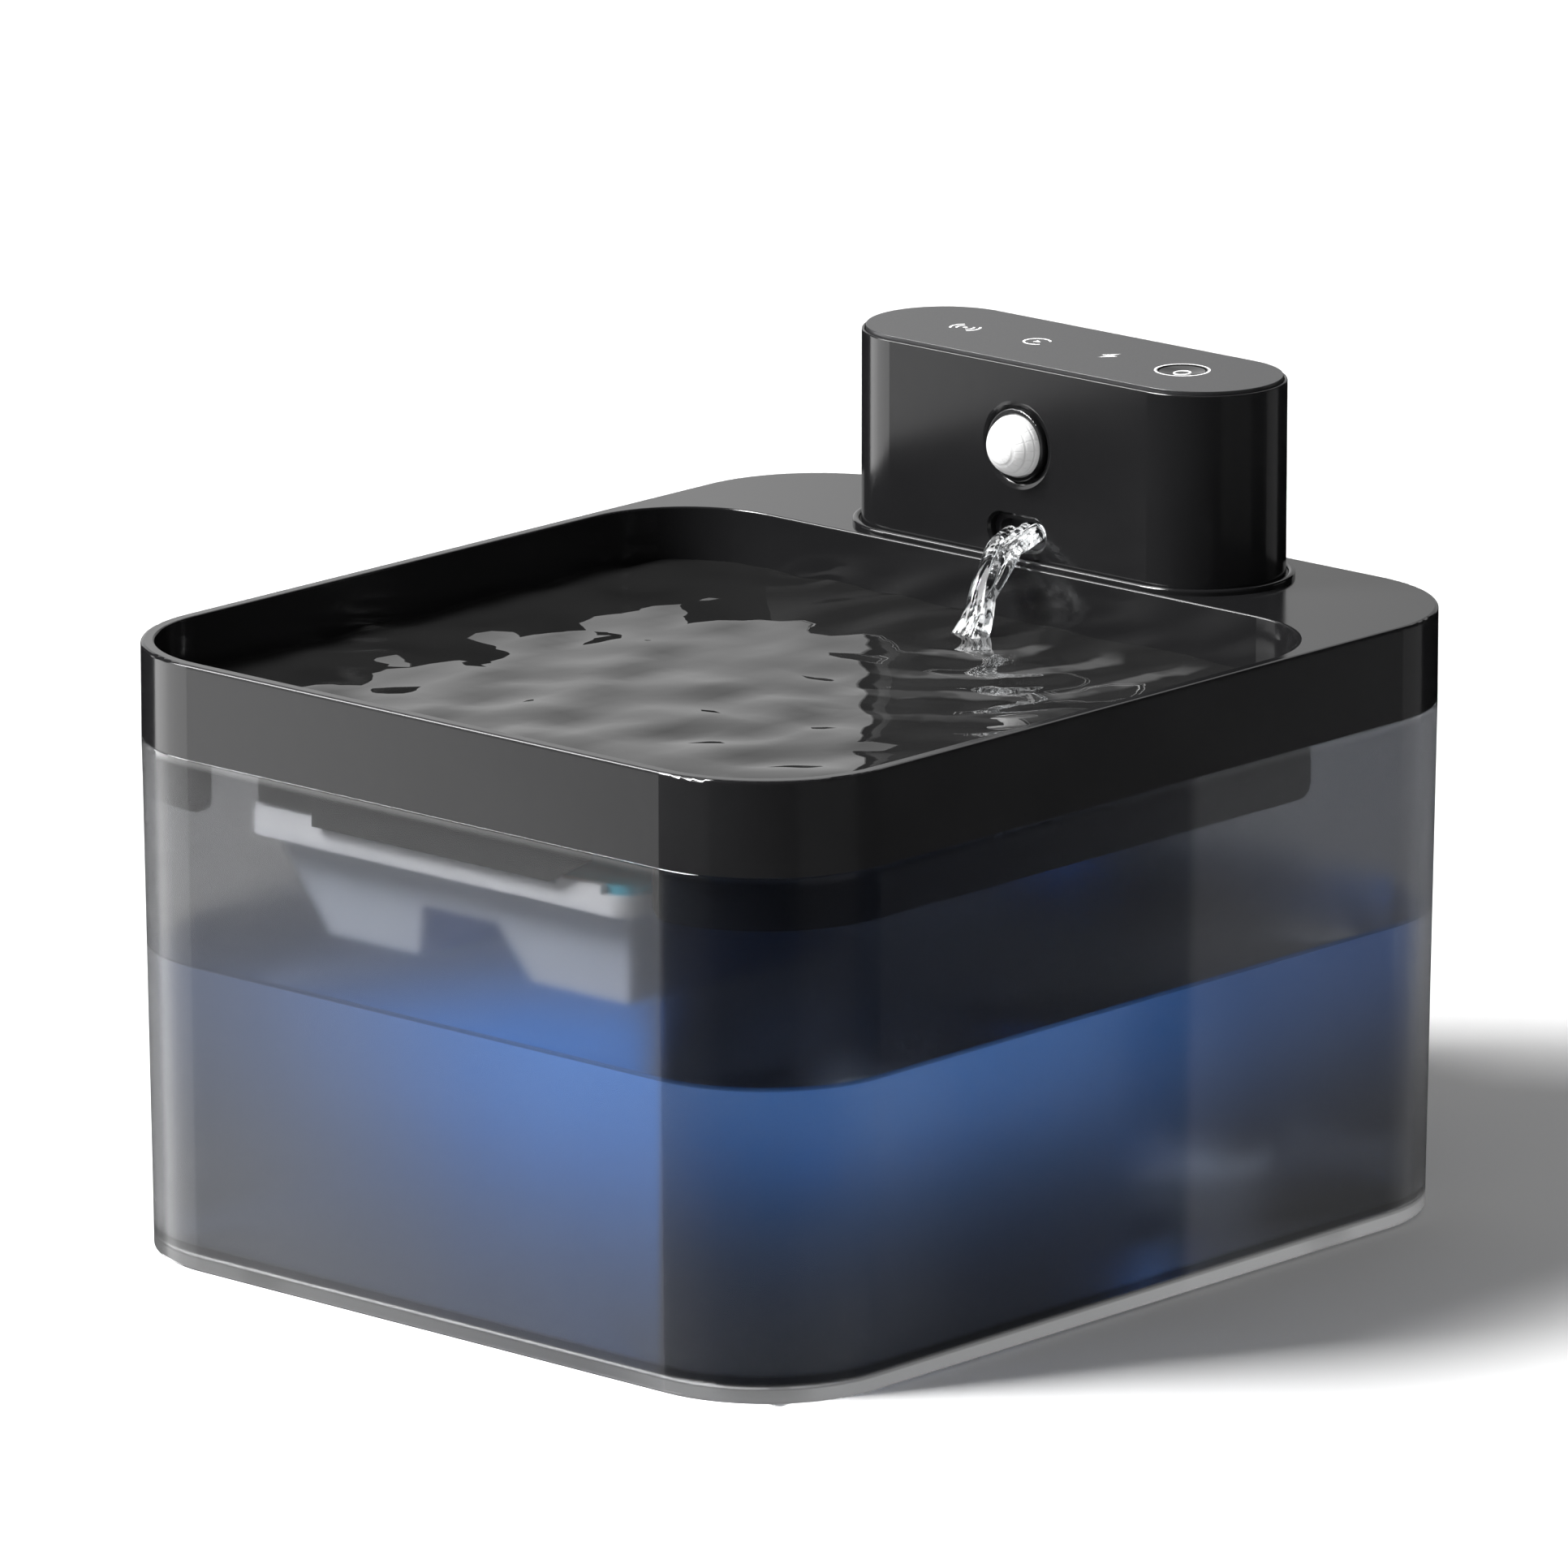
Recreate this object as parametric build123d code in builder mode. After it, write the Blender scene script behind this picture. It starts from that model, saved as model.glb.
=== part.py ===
from build123d import *
import math
import os

# Pet water fountain with a motion sensor. A smoky tank carries a black drinking
# tray, a filter box slides on rails under the tray, and a battery head with a
# hanging pump stands in a socket in the tray's rear deck.
# Frame: millimetres, +Z up, +X to the right and -Y to the front where the pet
# drinks. The origin is on the floor, under the middle of the footprint.

os.makedirs("parts", exist_ok=True)

# ---- Footprint, shared by the tank and the tray ----
width = 200.0
depth = 230.5
corner_radius = 32.4

# ---- Tank ----
foot_proud = 0.5
foot_radius = 7.0
foot_pocket = 0.8
foot_inset = 34.0
foot_clearance = 0.1
tank_top = 113.3
tank_draft = 1.6
tank_wall = 2.4
tank_floor = 2.5
tank_base_fillet = 1.0
tank_lip_fillet = 0.5
tank_floor_fillet = 1.5

# ---- Drinking tray ----
band_height = 20.4
rim_land = 3.0
rim_fillet = 0.8
basin_lip_fillet = 0.5
deck_depth = 45.95
basin_back_radius = 26.5
basin_floor = 2.2
basin_fillet = 5.0
deck_thickness = 2.2
deck_wall = 2.4
basin_back_wall = 2.2
skirt_gap = 0.5
skirt_wall = 1.8
skirt_drop = 11.8
skirt_end_radius = 3.5
skirt_front_setback = 36.0
skirt_side_setback = 60.25
skirt_back_setback = 40.0
tongue_left = -33.1
tongue_right = 45.7
tongue_drop = 9.0
tongue_slope = (10.8, 5.9)
shoulder_left = -50.0
shoulder_drop = 6.8
shoulder_step = 1.5
shoulder_lap = 1.0

# ---- Drain grille in the basin floor ----
drain_setback = 47.25
drain_length = 60.0
drain_width = 24.0
drain_ledge = 3.0
drain_depth = 1.2
drain_slot_length = 12.0
drain_slot_width = 2.0
drain_slot_pitch = 5.0
drain_slot_count = 9
drain_clearance = 0.2
drain_lift_hole = 6.0

# ---- Filter box and its rails ----
box_setback = 5.05
box_length = 80.0
box_width = 112.0
box_wall = 1.6
box_floor = 1.0
flange_height = 4.3
flange_drop = 9.9
rail_gap = 0.5
rail_wall = 2.0
rail_ledge = 5.0
rail_ledge_thickness = 2.0
rail_clearance = 0.3
rail_setback = 14.0
hopper_setback = 7.2
hopper_drop = 24.7
hopper_arch_drop = 13.8
hopper_wall = 1.4
hopper_left_top = -53.0
hopper_right = 49.0
leg_left = (-36.7, -11.0)
leg_right = (21.6, 49.0)
arch_span = (-10.0, 11.5)
outlet_inset = 4.0
window_inset = 7.0
lug_thickness = 2.0
lug_left = (-51.5, -31.6, 2.5)
lug_right = (35.0, 47.6, 1.8)

# ---- Filter cartridge ----
cartridge_clearance = 0.8
cartridge_height = 5.0
cartridge_radius = 7.0
cartridge_skin = 1.2
cartridge_rim = 3.0
cartridge_media_gap = 0.1
slot_rows = 7
slot_width = 4.6
slot_row_pitch = 9.4
slot_gap = 7.0
slot_inner_length = 20.0
slot_outer_length = 18.0

# ---- Head ----
head_setback = 25.0
head_centres = 74.0
head_radius = 18.25
head_wall = 2.2
head_seat_gap = 0.2
head_stand = 44.3
panel_proud = 0.8
panel_thickness = 2.0
panel_inset = 0.75
panel_gap = 0.15
head_rim_fillet = 0.35
bead_gap = 0.5
bead_width = 1.5
bead_height = 1.3
bead_fillet = 0.6

# ---- Socket in the deck and the plug of the head base ----
plug_radius = 12.0
plug_gap = 0.4
plug_wall = 2.0
plug_drop = 12.0
seal_radius = 15.5
seal_depth = 2.2
seal_gap = 0.2
seal_lip_gap = 0.3
socket_wall = 2.0
socket_thick = 2.5
socket_drop = 12.0
base_thickness = 2.5
base_gap = 0.2

# ---- Screws ----
screw_x = 44.5
screw_shank = 1.25
screw_length = 9.0
screw_head = 2.4
screw_head_height = 1.6
screw_clearance = 0.15
screw_pilot_gap = 0.05
boss_radius = 3.2
boss_height = 12.0
rib_thickness = 1.6

# ---- Motion sensor ----
pir_rise = 26.0
pir_dish_radius = 9.8
pir_dish_depth = 2.0
pir_hole_radius = 7.1
pir_collar_radius = 8.1
pir_collar_proud = 0.6
pir_collar_edge = 0.35
pir_boss_radius = 12.0
pir_boss_depth = 2.8
lens_radius = 6.7
lens_hump = 5.3
lens_wall = 1.0
lens_proud = 1.2
lens_flange_radius = 9.0
lens_flange = 1.2
holder_length = 5.0
holder_radius = 9.6
holder_bore = 6.2
sensor_radius = 4.6
sensor_height = 4.2
sensor_window = (4.0, 3.0, 0.2)
pir_board_size = 20.0
board_thickness = 1.2

# ---- Spout and water path ----
spout_rise = 6.6
spout_width = 16.0
spout_height = 7.0
spout_chamfer = 0.6
nozzle_width = 20.0
nozzle_height = 7.6
nozzle_slot_width = 13.0
nozzle_slot_height = 4.4
nozzle_length = 5.8
nozzle_lip = 2.6
nozzle_gap = 0.1
spigot_radius = 2.6
spigot_length = 2.0
tube_radius = 3.8
tube_bore = 2.7
tube_bend = 5.0

# ---- Column and light ----
column_width = 34.0
column_depth = 19.0
column_radius = 6.0
column_wall = 1.8
ear_reach = 8.0
ear_width = 8.0
ear_thickness = 3.0
ear_screw_x = 21.0
tube_hole_gap = 0.9
cable_x = -11.0
cable_radius = 1.4
cable_gap = 0.4
plug_block = (6.0, 5.0, 3.8)
light_z = 70.0
light_radius = 5.0
light_gap = 0.1
light_proud = 0.6
light_length = 3.0
light_board_size = 14.0

# ---- Pump ----
pump_bottom = 9.0
pump_top = 44.0
pump_depth = 21.5
pump_left = -29.5
pump_right = 2.5
pump_corner = 4.0
pump_axis_z = 24.0
chamber_radius = 8.2
chamber_length = 5.0
rotor_radius = 5.8
rotor_gap = 0.4
rotor_length = 18.0
rotor_left = -21.5
impeller_radius = 7.5
impeller_width = 4.0
impeller_hub = 2.6
vane_count = 6
vane_thickness = 1.0
coil_inner = 7.2
coil_outer = 9.3
coil_gap = 0.1
coil_left = -20.0
coil_right = -5.5
shaft_radius = 1.0
shaft_clearance = 0.05
shaft_left = -25.0
cover_thickness = 3.5
inlet_radius = 4.6
cover_hub = 2.3
spoke_width = 1.2
spoke_count = 3
strainer_length = 16.0
strainer_wall = 1.5
strainer_slots = 5
strainer_slot_width = 2.0
strainer_slot_height = 24.0
strainer_slot_pitch = 3.6
sponge_gap = 0.4
sponge_length = 12.0
sponge_stand_off = 0.3
outlet_radius = 1.9
nipple_radius = 2.6
nipple_height = 6.0

# ---- Battery and boards ----
cell_radius = 9.2
cell_length = 65.0
cell_offset = 6.15
cell_board_gap = 1.3
cradle_gap = 0.2
cradle_wall = 1.4
cradle_end = 1.6
cradle_leg_width = 4.0
cradle_leg_positions = (-12.0, 12.0, 30.0)
cradle_leg_depth = 4.0
main_board_drop = 8.0
main_board_thickness = 1.6
main_board_width = 88.0
main_board_depth = 30.0
main_board_notch = (26.0, 10.5)

# ---- Icons, button and switch ----
icon_pitch = 20.8
icon_depth = 0.4
icon_stroke = 0.55
wave_radii = (1.9, 3.3)
wave_sweep = 84
timer_radius = 2.9
timer_start = 42
timer_sweep = 276
timer_hand = 1.1
bolt_height = 5.8
bolt_width = 3.8
key_radius = 5.0
key_gap = 0.3
key_recess = 0.2
key_dish = 0.5
key_flange_radius = 6.0
key_flange_gap = 0.4
key_flange = 1.0
key_stem_radius = 1.5
key_travel = 0.5
ring_width = 0.8
switch_size = 6.0
switch_height = 2.8
switch_gap = 0.1
spring_radius = 2.6
led_size = 1.6
led_height = 0.8

# ---- Charging port ----
port_x = -26.0
port_rise = 9.1
port_recess = 1.6
port_recess_width = 21.0
port_recess_height = 9.0
port_boss_width = 24.0
port_boss_height = 11.6
port_boss_depth = 2.1
socket_width = 8.94
socket_height = 3.26
socket_length = 7.35
socket_shell = 0.3
socket_fit = 0.4
tongue_size = (6.7, 0.7)
plug_cap_gap = 0.3
plug_cap_thickness = 1.5
plug_nub = (6.6, 2.0, 2.0)
charge_board_size = (20.0, 10.6)
charge_post_radius = 1.6
charge_post_pitch = 14.0

# ---- Sizes that follow from the ones above ----
head_y = depth / 2 - head_setback
cell_y = head_y + cell_offset
basin_back = depth / 2 - deck_depth
drain_y = -depth / 2 + drain_setback
box_front = -depth / 2 + box_setback
skirt_front_end = width / 2 - skirt_front_setback
skirt_side_end = depth / 2 - skirt_side_setback
skirt_back_half = width / 2 - skirt_back_setback
floor_top = foot_proud + tank_floor
draft_angle = math.degrees(math.atan(tank_draft / (tank_top - foot_proud)))
rim_top = tank_top + band_height
basin_floor_top = tank_top + basin_floor
head_top = rim_top + head_stand
pir_z = rim_top + pir_rise
spout_z = rim_top + spout_rise
port_z = rim_top + port_rise
deck_underside = rim_top - deck_thickness
basin_half = width / 2 - rim_land
basin_front = -depth / 2 + rim_land
skirt_bottom = tank_top - skirt_drop
skirt_inset = tank_wall + skirt_gap
flange_top = tank_top - flange_drop
flange_bottom = flange_top - flange_height
hopper_bottom = flange_top - hopper_drop
hopper_arch = flange_top - hopper_arch_drop
box_floor_top = flange_bottom + box_floor
box_middle_y = box_front + box_length / 2
cartridge_width = box_width - 2 * (box_wall + cartridge_clearance)
cartridge_length = box_length - 2 * (box_wall + cartridge_clearance)
cartridge_top = box_floor_top + cartridge_height
head_bottom = rim_top + head_seat_gap
head_front = head_y - head_radius
head_back = head_y + head_radius
shell_top = head_top - panel_proud
panel_bottom = head_top - panel_thickness
main_board_bottom = panel_bottom - main_board_drop
cell_z = main_board_bottom - cell_board_gap - cell_radius
wall_inside_front = head_front + head_wall
wall_inside_back = head_back - head_wall
base_top = head_bottom + base_thickness
pir_back = wall_inside_front + pir_boss_depth
lens_flange_back = pir_back + lens_flange
holder_back = lens_flange_back + holder_length
nozzle_front = wall_inside_front + nozzle_gap
nozzle_back = nozzle_front + nozzle_length
cover_right = pump_right + cover_thickness
strainer_right = cover_right + strainer_length
board_top = main_board_bottom + main_board_thickness
switch_top = board_top + switch_height
power_x = 1.5 * icon_pitch
ring_bore = key_radius + key_gap
ring_radius = ring_bore + ring_width
port_recess_floor = head_back - port_recess
socket_mouth = port_recess_floor - 1.0
charge_board_top = port_z - socket_height / 2
charge_board_back = wall_inside_back - port_boss_depth - cradle_gap
charge_board_y = charge_board_back - charge_board_size[1] / 2


def level(x, y, z):
    """A horizontal plane with its own centre at x, y."""
    return Plane(origin=(x, y, z), x_dir=(1, 0, 0), z_dir=(0, 0, 1))


def facing_front(x, y, z):
    """An upright plane that looks to -Y, so that extrusions grow to the front."""
    return Plane(origin=(x, y, z), x_dir=(1, 0, 0), z_dir=(0, -1, 0))


def facing_back(x, y, z):
    """An upright plane that looks to +Y."""
    return Plane(origin=(x, y, z), x_dir=(-1, 0, 0), z_dir=(0, 1, 0))


def facing_right(x, y, z):
    """An upright plane that looks to +X, with its own x along +Y."""
    return Plane(origin=(x, y, z), x_dir=(0, 1, 0), z_dir=(1, 0, 0))


def head_level(z):
    """A horizontal plane centred on the head."""
    return level(0, head_y, z)


def basin_outline(grow=0.0):
    """The basin seen from above, with larger front than rear corners."""
    front = basin_front - grow
    back = basin_back + grow
    half = basin_half + grow
    with BuildSketch() as outline:
        with Locations((0, (front + back) / 2)):
            Rectangle(2 * half, back - front)
        fillet(outline.vertices().group_by(Axis.Y)[0], corner_radius - rim_land + grow)
        fillet(outline.vertices().group_by(Axis.Y)[-1], basin_back_radius + grow)
    return outline.sketch


# ---------------------------------------------------------------- tank
with BuildPart() as tank:
    with BuildSketch(Plane.XY.offset(foot_proud)):
        RectangleRounded(
            width - 2 * tank_draft, depth - 2 * tank_draft, corner_radius - tank_draft
        )
    extrude(amount=tank_top - foot_proud, taper=-draft_angle)
    fillet(tank.edges().group_by(Axis.Z)[0], tank_base_fillet)
    fillet(tank.edges().group_by(Axis.Z)[-1], tank_lip_fillet)
    cavity_inset = tank_draft * (1 - tank_floor / (tank_top - foot_proud)) + tank_wall
    with BuildSketch(Plane.XY.offset(floor_top)):
        RectangleRounded(
            width - 2 * cavity_inset,
            depth - 2 * cavity_inset,
            corner_radius - cavity_inset,
        )
    extrude(amount=tank_top - floor_top, taper=-draft_angle, mode=Mode.SUBTRACT)
    floor_face = tank.faces().filter_by(Axis.Z).filter_by_position(
        Axis.Z, floor_top - 0.1, floor_top + 0.1
    )
    fillet(floor_face.edges(), tank_floor_fillet)
    with BuildSketch(Plane.XY.offset(foot_proud)):
        with GridLocations(width - 2 * foot_inset, depth - 2 * foot_inset, 2, 2):
            Circle(foot_radius + foot_clearance)
    extrude(amount=foot_pocket, mode=Mode.SUBTRACT)
tank.part.label = "tank"
export_step(tank.part, "parts/tank.step")

with BuildPart() as foot_pads:
    with BuildSketch():
        with GridLocations(width - 2 * foot_inset, depth - 2 * foot_inset, 2, 2):
            Circle(foot_radius)
    extrude(amount=foot_proud + foot_pocket)
foot_pads.part.label = "foot_pads"
export_step(foot_pads.part, "parts/foot_pads.step")

# ---------------------------------------------------------------- drinking tray
with BuildPart() as drinking_tray:
    # Locating skirt inside the tank, open at the front and at the rear corners.
    with BuildSketch(Plane.XY.offset(skirt_bottom)):
        RectangleRounded(
            width - 2 * skirt_inset, depth - 2 * skirt_inset, corner_radius - skirt_inset
        )
        hollow_inset = skirt_inset + skirt_wall
        RectangleRounded(
            width - 2 * hollow_inset,
            depth - 2 * hollow_inset,
            corner_radius - hollow_inset,
            mode=Mode.SUBTRACT,
        )
        with Locations((0, -depth / 2)):
            Rectangle(2 * skirt_front_end, depth / 2, mode=Mode.SUBTRACT)
        gap_width = width / 2 - skirt_back_half
        gap_length = depth / 2 - skirt_side_end
        for side in (-1, 1):
            with Locations(
                (side * (skirt_back_half + gap_width / 2), depth / 2 - gap_length / 2)
            ):
                Rectangle(gap_width, gap_length, mode=Mode.SUBTRACT)
    extrude(amount=skirt_drop + basin_floor / 2)
    skirt_ends = (
        drinking_tray.edges()
        .filter_by_position(Axis.Z, skirt_bottom - 0.1, skirt_bottom + 0.1)
        .filter_by(lambda edge: edge.length < 1.2 * skirt_wall)
    )
    fillet(skirt_ends, skirt_end_radius)

    # The band, with the basin sunk into its top and a hollow under the rear deck.
    with BuildSketch(Plane.XY.offset(tank_top)):
        RectangleRounded(width, depth, corner_radius)
    extrude(amount=band_height)
    with BuildSketch(Plane.XY.offset(basin_floor_top)):
        add(basin_outline())
    extrude(amount=band_height, mode=Mode.SUBTRACT)
    with BuildSketch(Plane.XY.offset(tank_top)):
        RectangleRounded(
            width - 2 * deck_wall, depth - 2 * deck_wall, corner_radius - deck_wall
        )
        add(basin_outline(basin_back_wall), mode=Mode.SUBTRACT)
    extrude(amount=deck_underside - tank_top, mode=Mode.SUBTRACT)

    # Rear skirt segment hangs from the band's wall.
    with BuildSketch(Plane.XY.offset(tank_top)):
        with Locations((0, depth / 2 - deck_wall - skirt_inset / 2)):
            Rectangle(2 * skirt_back_half, skirt_inset)
    extrude(amount=basin_floor / 2)

    # Socket for the plug of the head, with a seat for its seal.
    with BuildSketch(head_level(deck_underside - socket_thick)):
        SlotCenterToCenter(head_centres, 2 * (seal_radius + socket_wall))
    extrude(amount=socket_thick + deck_thickness / 2)
    with BuildSketch(head_level(rim_top - socket_drop)):
        SlotCenterToCenter(head_centres, 2 * (plug_radius + plug_gap + socket_wall))
    extrude(amount=socket_drop - deck_thickness / 2)
    with BuildSketch(head_level(rim_top - socket_drop)):
        SlotCenterToCenter(head_centres, 2 * (plug_radius + plug_gap))
    extrude(amount=socket_drop, mode=Mode.SUBTRACT)
    with BuildSketch(head_level(rim_top - seal_depth)):
        SlotCenterToCenter(head_centres, 2 * seal_radius)
    extrude(amount=seal_depth, mode=Mode.SUBTRACT)

    # Raised bead that keeps the foot of the head dry.
    bead_inner = head_radius + bead_gap
    with BuildSketch(head_level(rim_top)):
        SlotCenterToCenter(head_centres, 2 * (bead_inner + bead_width))
        SlotCenterToCenter(head_centres, 2 * bead_inner, mode=Mode.SUBTRACT)
    extrude(amount=bead_height)
    bead_top = drinking_tray.faces().sort_by(Axis.Z)[-1]
    fillet(bead_top.edges(), bead_fillet)

    # Drain: a seat for the grille and the opening under it.
    with BuildSketch(level(0, drain_y, basin_floor_top - drain_depth)):
        SlotOverall(drain_length, drain_width)
    extrude(amount=drain_depth, mode=Mode.SUBTRACT)
    with BuildSketch(level(0, drain_y, tank_top)):
        SlotOverall(drain_length - 2 * drain_ledge, drain_width - 2 * drain_ledge)
    extrude(amount=basin_floor, mode=Mode.SUBTRACT)

    # Front tongue that covers the filter box.
    tongue_y = -depth / 2 + skirt_inset + skirt_wall
    with BuildSketch(facing_front(0, tongue_y, tank_top)):
        with BuildLine():
            Polyline(
                (tongue_left, basin_floor / 2),
                (tongue_left, -tongue_drop),
                (tongue_right - tongue_slope[0], -tongue_drop),
                (tongue_right, tongue_slope[1] - tongue_drop),
                (tongue_right, basin_floor / 2),
                close=True,
            )
        make_face()
    extrude(amount=skirt_wall)
    shoulder_right = tongue_left + shoulder_lap
    with BuildSketch(
        facing_front((shoulder_left + shoulder_right) / 2, tongue_y + shoulder_step, tank_top)
    ):
        with Locations((0, (basin_floor / 2 - shoulder_drop) / 2)):
            Rectangle(shoulder_right - shoulder_left, shoulder_drop + basin_floor / 2)
    extrude(amount=skirt_wall)

    # Rails that carry the flange of the filter box.
    rail_inner = box_width / 2 + rail_gap
    ledge_top = flange_bottom - rail_clearance
    rail_length = box_length - rail_setback
    rail_middle = box_front + rail_setback + rail_length / 2
    for side in (-1, 1):
        rail_x = side * (rail_inner + rail_wall / 2)
        with BuildSketch(level(rail_x, rail_middle, ledge_top - rail_ledge_thickness)):
            Rectangle(rail_wall, rail_length)
        extrude(amount=tank_top + basin_floor / 2 - ledge_top + rail_ledge_thickness)
        ledge_x = side * (rail_inner + rail_wall - rail_ledge / 2)
        with BuildSketch(level(ledge_x, rail_middle, ledge_top - rail_ledge_thickness)):
            Rectangle(rail_ledge, rail_length)
        extrude(amount=rail_ledge_thickness)

    # Rounded edges: the basin's floor corner, the basin's lip and the outer rim.
    floor_edges = drinking_tray.edges().filter_by_position(
        Axis.Z, basin_floor_top - 0.01, basin_floor_top + 0.01
    )
    basin_corner = floor_edges.filter_by(
        lambda edge: edge.length > drain_length
        or abs(edge.center().X) > drain_length
    )
    fillet(basin_corner.filter_by(lambda edge: edge.center().Y < basin_back + 1), basin_fillet)
    rim_faces = drinking_tray.faces().filter_by(Axis.Z).filter_by_position(
        Axis.Z, rim_top - 0.01, rim_top + 0.01
    )
    rim_face = rim_faces.sort_by(SortBy.AREA)[-1]
    fillet(rim_face.outer_wire().edges(), rim_fillet)
    rim_face = (
        drinking_tray.faces()
        .filter_by(Axis.Z)
        .filter_by_position(Axis.Z, rim_top - 0.01, rim_top + 0.01)
        .sort_by(SortBy.AREA)[-1]
    )
    lip_edges = rim_face.inner_wires().sort_by(Axis.Y)[0].edges()
    fillet(lip_edges, basin_lip_fillet)
drinking_tray.part.label = "drinking_tray"
export_step(drinking_tray.part, "parts/drinking_tray.step")

with BuildPart() as drain_grille:
    with BuildSketch(level(0, drain_y, basin_floor_top - drain_depth)):
        SlotOverall(drain_length - 2 * drain_clearance, drain_width - 2 * drain_clearance)
        with GridLocations(drain_slot_pitch, 0, drain_slot_count, 1):
            SlotOverall(drain_slot_length, drain_slot_width, rotation=90, mode=Mode.SUBTRACT)
    extrude(amount=drain_depth)
drain_grille.part.label = "drain_grille"
export_step(drain_grille.part, "parts/drain_grille.step")

# ---------------------------------------------------------------- filter box
hopper_front = box_front + hopper_setback
hopper_length = box_length - 2 * hopper_setback


def hopper_face(inset, top):
    """The hopper seen from the front: two slanting legs with an arch between."""
    with BuildSketch() as face:
        with BuildLine():
            Polyline(
                (hopper_left_top, top),
                (leg_left[0], hopper_bottom),
                (leg_left[1], hopper_bottom),
                (arch_span[0], hopper_arch),
                (arch_span[1], hopper_arch),
                (leg_right[0], hopper_bottom),
                (leg_right[1], hopper_bottom),
                (hopper_right, top),
                close=True,
            )
        make_face()
        if inset:
            offset(amount=-inset)
    return face.sketch


with BuildPart() as filter_box:
    with BuildSketch(level(0, box_middle_y, flange_bottom)):
        RectangleRounded(box_width, box_length, cartridge_radius)
    extrude(amount=flange_height)
    with BuildSketch(facing_front(0, hopper_front + hopper_length, 0)):
        add(hopper_face(0, flange_bottom + box_floor / 2))
    extrude(amount=hopper_length)
    with BuildSketch(level(0, box_middle_y, box_floor_top)):
        RectangleRounded(
            box_width - 2 * box_wall, box_length - 2 * box_wall, cartridge_radius - box_wall
        )
    extrude(amount=flange_height, mode=Mode.SUBTRACT)
    with BuildSketch(facing_front(0, hopper_front + hopper_length - hopper_wall, 0)):
        add(hopper_face(hopper_wall, flange_bottom + box_floor / 2))
    extrude(amount=hopper_length - 2 * hopper_wall, mode=Mode.SUBTRACT)
    window_left = hopper_left_top + window_inset
    window_right = hopper_right - window_inset
    with BuildSketch(
        level((window_left + window_right) / 2, box_middle_y, flange_bottom - box_floor)
    ):
        Rectangle(window_right - window_left, hopper_length - 2 * window_inset)
    extrude(amount=2 * box_floor, mode=Mode.SUBTRACT)
    for leg in (leg_left, leg_right):
        with BuildSketch(level((leg[0] + leg[1]) / 2, box_middle_y, hopper_bottom)):
            Rectangle(
                leg[1] - leg[0] - 2 * outlet_inset, hopper_length - 4 * outlet_inset
            )
        extrude(amount=hopper_wall, mode=Mode.SUBTRACT)
    for left, right, rise in (lug_left, lug_right):
        lug_y = box_front + lug_thickness / 2
        with BuildSketch(level((left + right) / 2, lug_y, flange_top - rise / 2)):
            Rectangle(right - left, lug_thickness)
        extrude(amount=1.5 * rise)
filter_box.part.label = "filter_box"
export_step(filter_box.part, "parts/filter_box.step")


def slot_centres():
    """Centres and lengths of the cartridge's slots: four columns in each row."""
    inner_x = slot_gap / 2 + slot_inner_length / 2
    outer_x = 1.5 * slot_gap + slot_inner_length + slot_outer_length / 2
    for row in range(slot_rows):
        y = (row - (slot_rows - 1) / 2) * slot_row_pitch
        for x, length in (
            (-outer_x, slot_outer_length),
            (-inner_x, slot_inner_length),
            (inner_x, slot_inner_length),
            (outer_x, slot_outer_length),
        ):
            yield x, y, length


# The cartridge is two moulded halves that snap round a pad of carbon and resin.
cartridge_split = box_floor_top + cartridge_height / 2
with BuildPart() as cartridge_base:
    with BuildSketch(level(0, box_middle_y, box_floor_top)):
        RectangleRounded(cartridge_width, cartridge_length, cartridge_radius - box_wall)
    extrude(amount=cartridge_height / 2)
    with BuildSketch(level(0, box_middle_y, box_floor_top + cartridge_skin)):
        RectangleRounded(
            cartridge_width - 2 * cartridge_rim,
            cartridge_length - 2 * cartridge_rim,
            cartridge_radius - cartridge_rim,
        )
    extrude(amount=cartridge_height, mode=Mode.SUBTRACT)
    with BuildSketch(level(0, box_middle_y, box_floor_top)):
        for x, y, length in slot_centres():
            with Locations((x, y)):
                SlotOverall(length, slot_width)
    extrude(amount=cartridge_skin, mode=Mode.SUBTRACT)
cartridge_base.part.label = "cartridge_base"
export_step(cartridge_base.part, "parts/cartridge_base.step")

with BuildPart() as cartridge_lid:
    with BuildSketch(level(0, box_middle_y, cartridge_split)):
        RectangleRounded(cartridge_width, cartridge_length, cartridge_radius - box_wall)
    extrude(amount=cartridge_height / 2)
    fillet(cartridge_lid.edges().group_by(Axis.Z)[-1], cartridge_skin / 2)
    with BuildSketch(level(0, box_middle_y, cartridge_split)):
        RectangleRounded(
            cartridge_width - 2 * cartridge_rim,
            cartridge_length - 2 * cartridge_rim,
            cartridge_radius - cartridge_rim,
        )
    extrude(amount=cartridge_height / 2 - cartridge_skin, mode=Mode.SUBTRACT)
    with BuildSketch(level(0, box_middle_y, cartridge_top - cartridge_skin)):
        for x, y, length in slot_centres():
            with Locations((x, y)):
                SlotOverall(length, slot_width)
    extrude(amount=cartridge_skin, mode=Mode.SUBTRACT)
cartridge_lid.part.label = "cartridge_lid"
export_step(cartridge_lid.part, "parts/cartridge_lid.step")

with BuildPart() as filter_media:
    media_rim = cartridge_rim + cartridge_media_gap
    with BuildSketch(level(0, box_middle_y, box_floor_top + cartridge_skin)):
        RectangleRounded(
            cartridge_width - 2 * media_rim,
            cartridge_length - 2 * media_rim,
            cartridge_radius - media_rim,
        )
    extrude(amount=cartridge_height - 2 * cartridge_skin)
filter_media.part.label = "filter_media"
export_step(filter_media.part, "parts/filter_media.step")

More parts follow.
